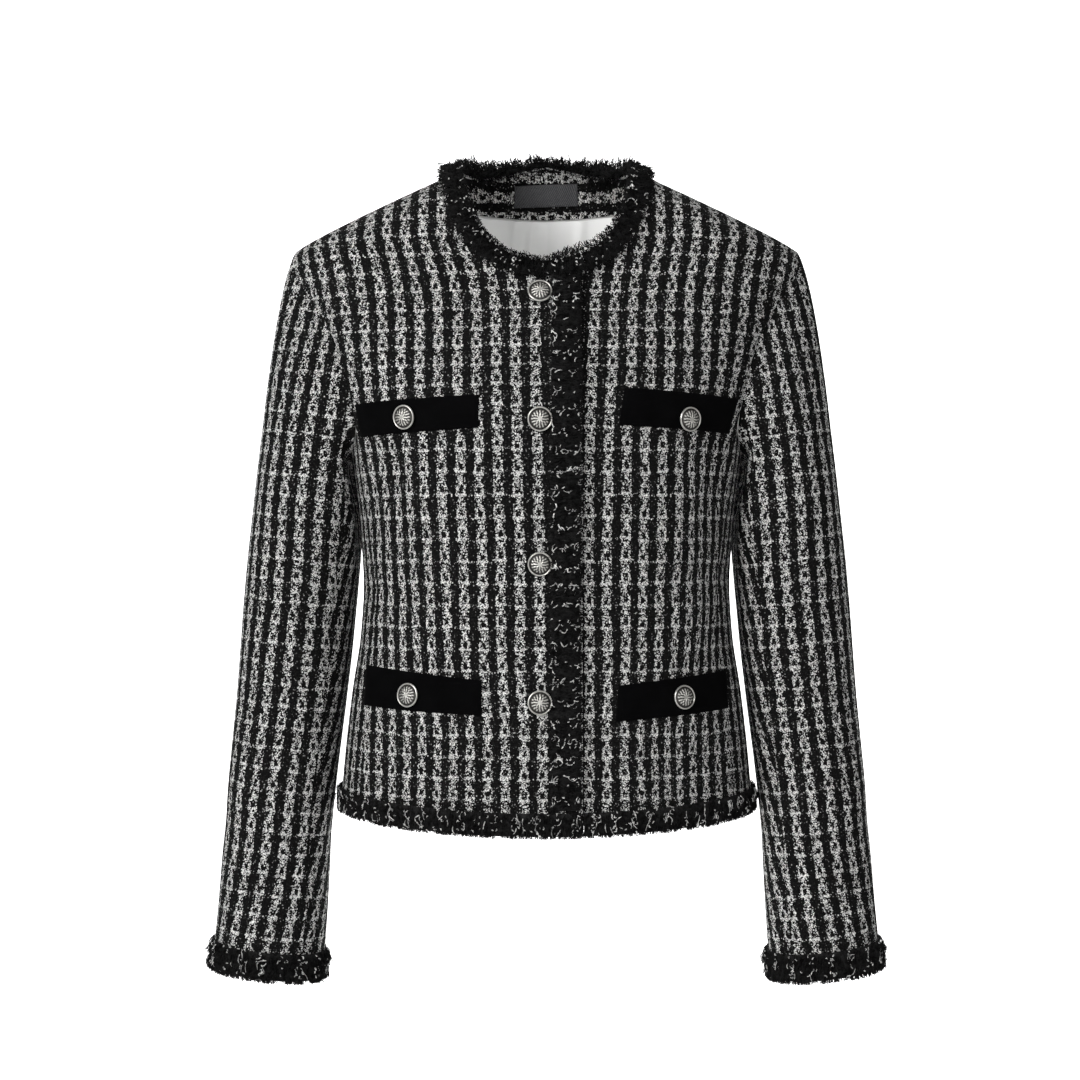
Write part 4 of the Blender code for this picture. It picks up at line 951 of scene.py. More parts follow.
@dataclass(frozen=True)
class Grain:
    """Cloth coordinates: across the stripes and along them, in metres."""

    pitch: float = 0.01435
    repeat: float = 0.0146
    steep: float = 0.85
    straight_above: float = -0.07
    levels: int = 90
    samples: int = 130
    sleeve_repeat: float = 0.0162
    span: Pair = (-0.53, 0.03)
    widest: float = 0.26
    round_over: float = 0.0004
    sleeve_span: Pair = (-0.64, -0.26)
    sleeve_levels: int = 40

    def arc(self, grid: Array, face: Face) -> Array:
        """Length round the form from its middle to each point, at the point's own height.

        Args:
            grid: The points.
            face: The face they are on.

        Returns:
            One length for each point, without sign.
        """
        heights = np.linspace(*self.span, self.levels)
        x = np.linspace(0.0, self.widest, self.samples)
        lengths = arc_lengths(FORM.seen(face)(x[None, :], heights[:, None]), 1)
        i = (grid[..., 2] - heights[0]) / (heights[1] - heights[0])
        j = np.abs(grid[..., 0]) / (x[1] - x[0])
        return between(lengths, i, j)

    def front(self, grid: Array, side: Side) -> Array:
        """Cloth coordinates of a front, whose darts draw its stripes together.

        Args:
            grid: The piece's grid.
            side: The wearer's side.

        Returns:
            (across, along) for each point.
        """
        table = LEFT_STRIPES if side is Side.LEFT else RIGHT_STRIPES
        heights = np.array([row.height for row in table])
        places = np.array([row.places for row in table]) / 1000.0
        rows = np.stack([SmoothCurve(heights, places[:, n])(grid[..., 2])
                         for n in range(places.shape[1])], axis=-1)
        lines = self.arc(joined(rows, 0.0, grid[..., 2, None]), Face.FRONT)
        arc = self.arc(grid, Face.FRONT) * np.sign(grid[..., 0]) * side.value
        passed = np.sum(arc[..., None] >= lines, axis=-1)
        count = lines.shape[-1]
        low = np.clip(passed - 1, 0, count - 1)
        high = np.clip(passed, 0, count - 1)
        start = np.take_along_axis(lines, low[..., None], axis=-1)[..., 0]
        end = np.take_along_axis(lines, high[..., None], axis=-1)[..., 0]
        span = np.where(low == high, self.pitch, end - start)
        across = self.pitch * (low + 0.5 + (arc - start) / span)
        return joined(across, self.along(grid))

    def back(self, grid: Array) -> Array:
        """Cloth coordinates of the back.

        Args:
            grid: The piece's grid.

        Returns:
            (across, along) for each point.
        """
        over = grid[..., 2] - self.straight_above
        lowered = grid.copy()
        lowered[..., 2] -= 0.5 * (over + np.sqrt(over * over + self.round_over))
        across = np.sign(grid[..., 0]) * self.arc(lowered, Face.BACK)
        return joined(across, self.along(grid))

    def along(self, grid: Array) -> Array:
        """Length up the cloth: knot rows lie level, and by arc length where the cloth lies flat.

        Args:
            grid: The piece's grid, rows going up.

        Returns:
            One length for each point.
        """
        level = column(KNOT_ROWS, "count")(grid[..., 2]) * self.repeat
        steps = spans(grid) * self.steep
        rise = np.maximum(np.diff(level, axis=0), steps)
        return level[:1] + running(rise)

    def side(self, grid: Array, start: float) -> Array:
        """Cloth coordinates of a side body."""
        return joined(start + arc_lengths(grid, 1), self.along(grid))

    def sleeve(self, form: SleeveForm, grid: Array, crown: int) -> Tuple[Array, Array]:
        """Cloth coordinates of the whole sleeve, whose stripes run beside its outer contour.

        Args:
            form: The sleeve's form.
            grid: Rows down, columns round.
            crown: Column of the crown line.

        Returns:
            (distance from the crown line, length up the sleeve) for each point, and the
            distance of the underarm at each point's height.
        """
        line = grid[::-1, crown]
        z = grid[..., 2]
        width = form.curves["half_width"](z)
        depth = form.curves["half_depth"](z)
        middle = np.interp(z, line[:, 2], line[:, 0]) - width
        power = form.squareness / 2.0
        dx = (grid[..., 0] - middle) / width
        dy = (grid[..., 1] - form.curves["centre_y"](z)) / depth
        turn = np.arctan2(np.abs(dy) ** power, np.sign(dx) * np.abs(dx) ** power)
        angles = np.linspace(0.0, math.pi, 181)
        shape = np.sign(np.cos(angles)) * np.abs(np.cos(angles)) ** (1.0 / power)
        rise = np.sin(angles) ** (1.0 / power)
        levels = np.linspace(*self.sleeve_span, self.sleeve_levels)
        lengths = np.stack([arc_lengths(joined(form.curves["half_width"](h) * shape,
                                               form.curves["half_depth"](h) * rise))
                            for h in levels])
        i = (z - levels[0]) / (levels[1] - levels[0])
        reach = between(lengths, i, turn / math.pi * 180.0)
        half = between(lengths, i, np.full(i.shape, 180.0))
        level = z - form.lean * (grid[..., 0] - middle)
        up = np.interp(level, line[:, 2], arc_lengths(line)) * self.repeat / self.sleeve_repeat
        return joined(reach, up), half


GRAIN = Grain()


# ---------------- shader building
class Wiring:
    """Short-hand for building a material's node tree."""

    def __init__(self, name: str, colour: Triple) -> None:
        """Start a Principled material.

        Args:
            name: The material's name.
            colour: Its plain colour, linear.
        """
        self.material = bpy.data.materials.new(name)
        self.material.use_nodes = True
        self.material.diffuse_color = (*colour, 1.0)
        self.tree = self.material.node_tree
        self.shader = self.tree.nodes["Principled BSDF"]
        self.shader.inputs["Base Color"].default_value = (*colour, 1.0)

    def node(self, kind: str, inputs: Optional[Dict[str, object]] = None,
             **settings: object) -> bpy.types.Node:
        """A new node.

        Args:
            kind: Its Blender type.
            inputs: What its inputs are set or linked to, by name.
            **settings: Attributes to set on it.

        Returns:
            The node.
        """
        made = self.tree.nodes.new(kind)
        for key, value in settings.items():
            setattr(made, key, value)
        for key, value in (inputs or {}).items():
            self.feed(made.inputs[key], value)
        return made

    def feed(self, socket: Socket, value: object) -> None:
        """Set or link an input.

        Args:
            socket: The input.
            value: A number, a tuple or an output socket.
        """
        if isinstance(value, Socket):
            self.tree.links.new(value, socket)
        else:
            socket.default_value = value

    def place(self) -> Socket:
        """Coordinates of the object itself."""
        return self.node("ShaderNodeTexCoord").outputs["Object"]

    def math(self, operation: str, *values: object, clamp: bool = False) -> Socket:
        """A Math node.

        Args:
            operation: Its operation.
            *values: Its inputs.
            clamp: Whether the result is clamped.

        Returns:
            The output.
        """
        made = self.node("ShaderNodeMath", operation=operation, use_clamp=clamp)
        for socket, value in zip(made.inputs, values):
            self.feed(socket, value)
        return made.outputs[0]

    def times(self, first: object, second: object) -> Socket:
        """A product."""
        return self.math("MULTIPLY", first, second)

    def minus(self, first: object, second: object) -> Socket:
        """The first less the second."""
        return self.math("SUBTRACT", first, second)

    def blend(self, value: object, gain: object, base: object, clamp: bool = False) -> Socket:
        """The value times the gain, plus the base."""
        return self.math("MULTIPLY_ADD", value, gain, base, clamp=clamp)

    def step(self, value: object, low: float, high: float) -> Socket:
        """A smooth rise from 0 at low to 1 at high, or a fall if low is the higher.

        Args:
            value: What is tested.
            low: Where it is 0.
            high: Where it is 1.

        Returns:
            The output.
        """
        first, second, start, end = (low, high, 0.0, 1.0) if low < high else (high, low, 1.0, 0.0)
        made = self.node("ShaderNodeMapRange", {"Value": value, "From Min": first,
                                                "From Max": second, "To Min": start, "To Max": end},
                         interpolation_type="SMOOTHSTEP")
        return made.outputs["Result"]

    def noise(self, vector: Socket, scale: float, detail: float = 1.0,
              rough: float = 0.5) -> Socket:
        """Noise from 0 to 1."""
        made = self.node("ShaderNodeTexNoise", {"Vector": vector, "Scale": scale, "Detail": detail,
                                                "Roughness": rough}, noise_dimensions="3D")
        return made.outputs["Fac"]

    def profile(self, value: Socket, points: Sequence[Pair]) -> Socket:
        """A curve over 0 to 1, through given points.

        Args:
            value: Where it is read.
            points: (place, height) pairs, from place 0 to 1.

        Returns:
            The output.
        """
        made = self.node("ShaderNodeFloatCurve", {"Value": value})
        curve = made.mapping.curves[0]
        curve.points[0].location = points[0]
        curve.points[1].location = points[-1]
        for place in points[1:-1]:
            curve.points.new(*place)
        made.mapping.update()
        return made.outputs[0]

    def mix(self, share: object, first: object, second: object) -> Socket:
        """A colour between two.

        Args:
            share: 0 for the first, 1 for the second.
            first: A colour.
            second: A colour.

        Returns:
            The output.
        """
        made = self.node("ShaderNodeMix", data_type="RGBA")
        sockets = [s for s in made.inputs if s.enabled]
        for socket, value in zip(sockets, (share, first, second)):
            self.feed(socket, (*value, 1.0) if isinstance(value, tuple) else value)
        return [s for s in made.outputs if s.enabled][0]

    def bump(self, height: Socket, distance: float, strength: float = 1.0) -> None:
        """Relief on the surface."""
        made = self.node("ShaderNodeBump", {"Height": height, "Distance": distance,
                                            "Strength": strength})
        self.tree.links.new(made.outputs["Normal"], self.shader.inputs["Normal"])

    def set(self, **values: object) -> None:
        """Set or link inputs of the shader; underscores stand for spaces."""
        for name, value in values.items():
            self.feed(self.shader.inputs[name.replace("_", " ")], value)


@dataclass(frozen=True)
class TweedFinish:
    """Black boucle tweed with knotted white stripes."""

    name: str = "tweed_boucle"
    black: Triple = (0.0022, 0.0022, 0.0022)
    grey: Triple = (0.014, 0.014, 0.0137)
    dull: Triple = (0.15, 0.15, 0.147)
    white: Triple = (0.88, 0.88, 0.86)
    wander: float = 0.0016
    sway: float = 0.0006
    half_width: float = 0.52
    knot_swell: float = 0.07
    soft_edge: float = 0.07
    coarse_loops: float = 980.0
    fine_loops: float = 1500.0
    weave_scale: float = 820.0
    knot: Tuple[Pair, ...] = (
        (0.0, 1.0), (0.055, 0.95), (0.11, 0.15), (0.16, 0.0), (0.84, 0.0), (0.9, 0.15),
        (0.945, 0.95), (1.0, 1.0))
    middle: Tuple[Pair, ...] = (
        (0.0, 0.92), (0.06, 0.8), (0.12, 0.14), (0.22, 0.05), (0.34, 0.1), (0.44, 0.46),
        (0.56, 0.6), (0.78, 0.55), (0.9, 0.5), (1.0, 0.92))
    edge: Tuple[Pair, ...] = (
        (0.0, 0.9), (0.07, 0.78), (0.15, 0.58), (0.3, 0.62), (0.42, 0.5), (0.55, 0.25),
        (0.7, 0.16), (0.85, 0.2), (0.93, 0.4), (1.0, 0.9))

    @staticmethod
    def dots(w: Wiring, place: Socket, scale: float, density: Socket) -> Tuple[Socket, Socket]:
        """Loops of yarn that stand up where the density is high.

        Args:
            w: The material.
            place: Cloth coordinates.
            scale: Loops for each metre.
            density: Share of the loops that show.

        Returns:
            How much of a loop each point is, and the loop's own random tone.
        """
        cells = w.node("ShaderNodeTexVoronoi", {"Vector": place, "Scale": scale},
                       voronoi_dimensions="2D", feature="F1")
        chance = w.node("ShaderNodeSeparateXYZ", {"Vector": cells.outputs["Color"]})
        near = w.step(cells.outputs["Distance"], 0.66, 0.34)
        picked = w.step(w.minus(chance.outputs[0], density), 0.04, -0.04)
        return w.times(near, picked), chance.outputs[1]

    def build(self) -> Material:
        """Make the material.

        Returns:
            The material.
        """
        w = Wiring(self.name, self.black)
        cloth = w.node("ShaderNodeUVMap", uv_map="cloth").outputs["UV"]
        split = w.node("ShaderNodeSeparateXYZ", {"Vector": cloth})
        wobble = w.minus(w.noise(cloth, 70.0, 1.0), 0.5)
        cell = w.math("DIVIDE", w.blend(wobble, self.wander, split.outputs[0]), GRAIN.pitch)
        sway = w.times(w.math("SINE", w.times(w.math("FLOOR", cell), 2.4)), self.sway)
        lift = w.blend(w.noise(cloth, 45.0, 1.0), 0.002, sway)
        lift = w.math("ADD", w.minus(lift, 0.001), split.outputs[1])
        row = w.math("FRACT", w.math("DIVIDE", lift, GRAIN.repeat))
        off = w.times(w.math("ABSOLUTE", w.minus(w.math("FRACT", cell), 0.5)), 2.0)
        ragged = w.blend(w.minus(w.noise(cloth, 620.0, 1.0), 0.5), 0.34, off)
        knot = w.profile(row, self.knot)
        width = w.blend(knot, self.knot_swell, self.half_width)
        inside = w.step(w.minus(ragged, width), self.soft_edge, -self.soft_edge)
        middle, edge = w.profile(row, self.middle), w.profile(row, self.edge)
        share = w.step(off, 0.12, 0.34)
        density = w.blend(w.minus(edge, middle), share, middle)
        density = w.math("MAXIMUM", w.times(density, inside), w.blend(knot, 0.055, 0.008))
        first, tone = self.dots(w, cloth, self.coarse_loops, density)
        turned = w.node("ShaderNodeMapping", {"Vector": cloth, "Rotation": (0.0, 0.0, 0.7),
                                              "Location": (0.31, 0.17, 0.0)})
        fewer = w.times(density, 0.55)
        second, _ = self.dots(w, turned.outputs[0], self.fine_loops, fewer)
        loops = w.math("MAXIMUM", first, w.times(second, 0.8))
        weave = w.noise(cloth, self.weave_scale, 2.0, 0.7)
        ground = w.mix(w.step(weave, 0.42, 0.74), self.black, self.grey)
        tone = w.blend(tone, 0.7, 0.3, clamp=True)
        w.set(Base_Color=w.mix(loops, ground, w.mix(tone, self.dull, self.white)), Roughness=0.95,
              Sheen_Weight=0.004, Sheen_Roughness=0.5, Specular_IOR_Level=0.02)
        height = w.blend(weave, 0.45, w.times(loops, 0.8))
        w.bump(height, 0.001, 0.9)
        return w.material


@dataclass(frozen=True)
class YarnFinish:
    """Fringe yarn, its colour mottled with random tone and painted highlights."""

    name: str
    dark: Triple
    colour: Triple
    sheen: float

    def build(self) -> Material:
        """Make the material.

        Returns:
            The material.
        """
        w = Wiring(self.name, self.colour)
        place = w.place()
        twist = w.noise(place, 900.0, 2.0)
        # Colour mottling: random tone along the yarn, plus painted highlights standing in for light
        # on the curls.
        tone_and_highlight = w.step(w.blend(twist, 0.5, w.times(w.noise(place, 260.0, 1.0), 0.5)), 0.36, 0.64)
        w.set(Base_Color=w.mix(tone_and_highlight, self.dark, self.colour), Roughness=0.95,
              Sheen_Weight=self.sheen, Specular_IOR_Level=0.03)
        w.bump(twist, 0.0004, 0.7)
        return w.material


@dataclass(frozen=True)
class VelvetFinish:
    """Deep black velvet."""

    name: str = "velvet_pile"

    def build(self) -> Material:
        """Make the material.

        Returns:
            The material.
        """
        w = Wiring(self.name, (0.0022, 0.0022, 0.0023))
        place = w.place()
        pile = w.noise(place, 2300.0, 2.0)
        brushed = w.noise(place, 55.0, 2.0)
        w.set(Base_Color=w.mix(brushed, (0.001, 0.001, 0.0011), (0.0026, 0.0026, 0.0028)),
              Roughness=1.0, Sheen_Weight=0.012, Sheen_Roughness=0.35, Specular_IOR_Level=0.01)
        w.bump(pile, 0.0002, 0.5)
        return w.material


@dataclass(frozen=True)
class SatinFinish:
    """Pale lining satin, with painted shade in the hollows of its soft folds."""

    name: str = "satin_weave"

    def build(self) -> Material:
        """Make the material.

        Returns:
            The material.
        """
        w = Wiring(self.name, (0.74, 0.74, 0.72))
        place = w.place()
        twill = w.noise(place, 2600.0, 1.0)
        slack_and_shade = w.noise(place, 26.0, 2.0)
        # Base colour follows the soft fold relief of the bump: painted shade, darker in the fold
        # hollows.
        w.set(Base_Color=w.mix(slack_and_shade, (0.84, 0.84, 0.83), (0.93, 0.93, 0.92)), Roughness=0.42,
              Sheen_Weight=0.1, Specular_IOR_Level=0.35)
        w.bump(w.math("ADD", w.times(twill, 0.08), slack_and_shade), 0.0016, 0.6)
        return w.material


@dataclass(frozen=True)
class LabelFinish:
    """Plain charcoal label with a fine woven face and no marks."""

    name: str = "blank_label"

    def build(self) -> Material:
        """Make the material.

        Returns:
            The material.
        """
        w = Wiring(self.name, (0.04, 0.04, 0.041))
        place = w.place()
        wave = w.node("ShaderNodeTexWave", {"Vector": place, "Scale": 420.0, "Distortion": 1.5},
                      wave_type="BANDS", bands_direction="DIAGONAL")
        thread = w.times(wave.outputs["Fac"], w.noise(place, 1300.0, 1.0))
        face = w.mix(w.step(thread, 0.15, 0.5), (0.022, 0.022, 0.024), (0.075, 0.075, 0.078))
        w.set(Base_Color=face, Roughness=0.62, Specular_IOR_Level=0.3)
        w.bump(thread, 0.0002, 0.6)
        return w.material


@dataclass(frozen=True)
class SilverFinish:
    """Antique silver, darker in its hollows."""

    name: str = "silver_old"

    def build(self) -> Material:
        """Make the material.

        Returns:
            The material.
        """
        w = Wiring(self.name, (0.5, 0.49, 0.46))
        place = w.node("ShaderNodeUVMap", uv_map="relief").outputs["UV"]
        split = w.node("ShaderNodeSeparateXYZ", {"Vector": place})
        stain = w.noise(place, 9.0, 3.0)
        hollow = w.times(w.step(split.outputs[1], 0.75, 0.15), 0.9)
        dark = w.math("ADD", hollow, w.times(w.step(stain, 0.45, 0.75), 0.25), clamp=True)
        w.set(Base_Color=w.mix(dark, (0.52, 0.51, 0.48), (0.02, 0.019, 0.018)), Metallic=0.92,
              Roughness=w.blend(dark, 0.3, 0.28))
        w.bump(stain, 0.00012, 0.5)
        return w.material


class Finish(Enum):
    """Finishes used on the jacket."""

    TWEED = TweedFinish()
    BLACK_YARN = YarnFinish("fringe_black", (0.0024, 0.0024, 0.0024), (0.017, 0.017, 0.017), 0.004)
    WHITE_YARN = YarnFinish("fringe_white", (0.14, 0.14, 0.14), (0.86, 0.86, 0.84), 0.01)
    VELVET = VelvetFinish()
    SATIN = SatinFinish()
    LABEL = LabelFinish()
    SILVER = SilverFinish()

    def material(self) -> Material:
        """The material of this finish, made once."""
        made = bpy.data.materials.get(self.value.name)
        return made if made is not None else self.value.build()


# ---------------- making pieces
class Hold(Enum):
    """How a sheet is held."""

    LAID = "laid"
    HUNG = "hung"


def make_piece(name: str, vertices: Array, faces: Sequence[Sequence[int]],
               finishes: Sequence[Finish], which: Optional[Array] = None) -> Piece:
    """A smooth mesh object with its finishes.

    Args:
        name: Piece name.
        vertices: Points.
        faces: Corner indices.
        finishes: One for each material slot.
        which: Slot of each face.

    Returns:
        The object.
    """
    mesh = bpy.data.meshes.new(name)
    mesh.from_pydata(np.asarray(vertices, float).tolist(), [], [list(map(int, f)) for f in faces])
    for finish in finishes:
        mesh.materials.append(finish.material())
    if which is not None:
        mesh.polygons.foreach_set("material_index", np.asarray(which, np.int32))
    mesh.shade_smooth()
    mesh.update()
    piece = bpy.data.objects.new(name, mesh)
    bpy.context.scene.collection.objects.link(piece)
    return piece


def set_layer(piece: Piece, name: str, values: Array) -> None:
    """Write a UV layer from values at the vertices.

    Args:
        piece: The object.
        name: Layer name.
        values: (u, v) of each vertex.
    """
    mesh = piece.data
    corners = np.empty(len(mesh.loops), np.int32)
    mesh.loops.foreach_get("vertex_index", corners)
    layer = mesh.uv_layers.new(name=name)
    layer.data.foreach_set("uv", np.asarray(values, np.float32)[corners].ravel())


def attach(piece: Piece, slot: str, *nodes: str) -> Piece:
    """Ride on the body and stand for CAD nodes.

    Args:
        piece: The object.
        slot: Name of a material slot; not used.
        *nodes: CAD nodes that it stands for.

    Returns:
        The same object.
    """
    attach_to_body(piece, BODY)
    if nodes:
        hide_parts(*nodes)
    LOG.info("%s: %d faces, in place of %s", piece.name, len(piece.data.polygons), ", ".join(nodes))
    return piece


@dataclass
class Shell:
    """A closed thin sheet between an outer and an inner grid."""

    name: str
    outer: Array
    inner: Array
    cloth: Array
    outside: Finish = Finish.TWEED
    inside: Finish = Finish.SATIN
    ease: float = 0.00017

    def build(self) -> Piece:
        """Make the mesh, with its cloth coordinates.

        Returns:
            The object.
        """
        outer, inner = self.outer.copy(), self.inner.copy()
        for face in (outer, inner):
            for edge, neighbour in ((0, 1), (-1, -2)):
                face[edge] += unit(face[neighbour] - face[edge]) * self.ease
                face[:, edge] += unit(face[:, neighbour] - face[:, edge]) * self.ease
        rows, columns = outer.shape[:2]
        count = rows * columns
        index = np.arange(count).reshape(rows, columns)
        quads = np.stack([index[:-1, :-1], index[:-1, 1:], index[1:, 1:], index[1:, :-1]], -1)
        quads = quads.reshape(-1, 4)
        back = quads[:, ::-1] + count
        border = np.concatenate([index[0, :-1], index[:-1, -1], index[-1, :0:-1], index[:0:-1, 0]])
        after = np.roll(border, -1)
        rim = np.stack([after, border, border + count, after + count], -1)
        faces = np.concatenate([quads, back, rim])
        which = np.concatenate([np.zeros(len(quads)), np.ones(len(back)), np.zeros(len(rim))])
        across = outer[0, 1] - outer[0, 0]
        up = outer[1, 0] - outer[0, 0]
        if np.dot(np.cross(across, up), outer[0, 0] - inner[0, 0]) < 0.0:
            faces = faces[:, ::-1]
        vertices = np.concatenate([outer.reshape(-1, 3), inner.reshape(-1, 3)])
        piece = make_piece(self.name, vertices, faces, (self.outside, self.inside), which)
        values = self.cloth.reshape(-1, 2)
        set_layer(piece, "cloth", np.concatenate([values, values]))
        piece.data.set_sharp_from_angle(angle=math.radians(50.0))
        return piece

    def flat(self) -> Triple:
        """Size of the cut: width, length and area.

        Returns:
            Metres, metres and square metres.
        """
        outer = self.outer
        width = spans(outer, 1).sum(axis=1).max()
        length = spans(outer).sum(axis=0).max()
        cross = np.cross(outer[1:, 1:] - outer[:-1, :-1], outer[1:, :-1] - outer[:-1, 1:])
        area = 0.5 * np.linalg.norm(cross, axis=-1).sum()
        return float(width), float(length), float(area)

    def declare(self, piece: Piece, rests_on: Sequence[str] = (),
                with_pieces: Sequence[Piece] = (), held: Hold = Hold.HUNG) -> None:
        """Do nothing; no record of the piece is kept.

        Args:
            piece: The built object; not used.
            rests_on: What it lies on or hangs from; not used.
            with_pieces: Separate pieces on it; not used.
            held: How it is held; not used.
        """


# ---------------- body and sleeves
@dataclass
class Body:
    """Fronts, side bodies and back."""

    wall: float = 0.0018
    pieces: Dict[str, Tuple[Shell, Piece]] = field(default_factory=dict)

    def shell(self, name: str, grid: Array, cloth: Array, offset: Optional[Array] = None) -> None:
        """Build one piece on the form.

        Args:
            name: CAD node's name.
            grid: Points on the form.
            cloth: Their cloth coordinates.
            offset: How far the piece stands off the form.
        """
        normals = FORM.normals(grid)
        rise = body_creases(grid) + (0.0 if offset is None else offset)
        outer = grid + normals * rise[..., None]
        shell = Shell(f"cloth_{name}", outer, outer - normals * self.wall, cloth)
        piece = attach(shell.build(), "tweed", name)
        self.pieces[name] = (shell, piece)

    def build(self) -> None:
        """Build all five pieces."""
        grid = mirrored(CUT.front_grid(-CUT.lap_edge))
        self.shell("front_right", grid, GRAIN.front(grid, Side.RIGHT),
                   CUT.lap_offset(grid, Side.RIGHT))
        grid = CUT.front_grid(-CUT.underlap_edge)
        cloth = GRAIN.front(grid, Side.LEFT)
        self.shell("front_left", grid, cloth, CUT.lap_offset(grid, Side.LEFT))
        side = CUT.side_grid()
        coordinates = GRAIN.side(side, float(np.median(cloth[:, -1, 0])))
        self.shell("side_left", side, coordinates)
        self.shell("side_right", mirrored(side), coordinates)
        grid = CUT.back_grid()
        self.shell("back", grid, GRAIN.back(grid))


@dataclass
class Sleeves:
    """Two sleeves, each of a top and an under piece."""

    form: SleeveForm = field(default_factory=SleeveForm)
    grain_shift: Dict[Side, float] = field(
        default_factory=lambda: {Side.LEFT: -0.0022, Side.RIGHT: 0.004})
    twist: Tuple[Pair, ...] = (
        (-0.64, 0.034), (-0.583, 0.0262), (-0.537, 0.019), (-0.49, 0.0146), (-0.443, 0.01),
        (-0.396, 0.0062), (-0.349, 0.0025), (-0.303, 0.0), (-0.2, 0.0), (0.05, 0.0))
    pieces: Dict[str, Tuple[Shell, Piece]] = field(default_factory=dict)

    def build(self) -> None:
        """Build the four pieces."""
        outer, inner, front_seam, back_seam = self.form.grids()
        columns = outer.shape[1]
        heights, turns = np.array(self.twist).T
        crown = (CUT.underarm_columns + CUT.armhole_rows) * CUT.fine
        cloth, half = GRAIN.sleeve(self.form, outer, crown)
        forward = cloth * np.array([-1.0, 1.0])
        wrapped = joined(2.0 * half - cloth[..., 0], cloth[..., 1])
        top = np.concatenate([forward[:, front_seam:crown], cloth[:, crown:back_seam + 1]], axis=1)
        under = np.concatenate([cloth[:, back_seam:], wrapped[:, :front_seam + 1]], axis=1)
        around = {"top": (list(range(front_seam, back_seam + 1)), top),
                  "under": (list(range(back_seam, columns)) + list(range(front_seam + 1)), under)}
        for side in Side:
            label = side.name.lower()
            for part, (picked, values) in around.items():
                faces = [grid[:, picked] for grid in (outer, inner)]
                if side is Side.RIGHT:
                    faces = [mirrored(face) for face in faces]
                twist = self.grain_shift[side] - SmoothCurve(heights, turns)(faces[0][..., 2])
                values = joined(values[..., 0] + twist, values[..., 1])
                shell = Shell(f"cloth_sleeve_{label}_{part}", faces[0], faces[1], values)
                piece = attach(shell.build(), "tweed", f"sleeve_{label}_{part}")
                self.pieces[f"sleeve_{label}_{part}"] = (shell, piece)


# ---------------- fringe
@dataclass
class Tufts:
    """Clumps of yarn ends along a line; distances run across it, in metres."""

    start: float
    stop: float
    reach: float
    per_metre: int
    fan: Pair = (0.0, 0.15)
    lift: float = 0.0012
    ragged: float = 0.0006
    curl: float = 0.0006
    flip: bool = False
    dome: float = 0.0
    brush: float = 0.0
    stand: bool = False


@dataclass
class Flecks:
    """White yarn ends and loops on a band."""

    count: int
    zone: Pair
    long: Pair
    turn: Pair
    pitch: float = 0.0
    spread: float = 0.2
    height: float = 0.0028
    thick: float = 0.0005


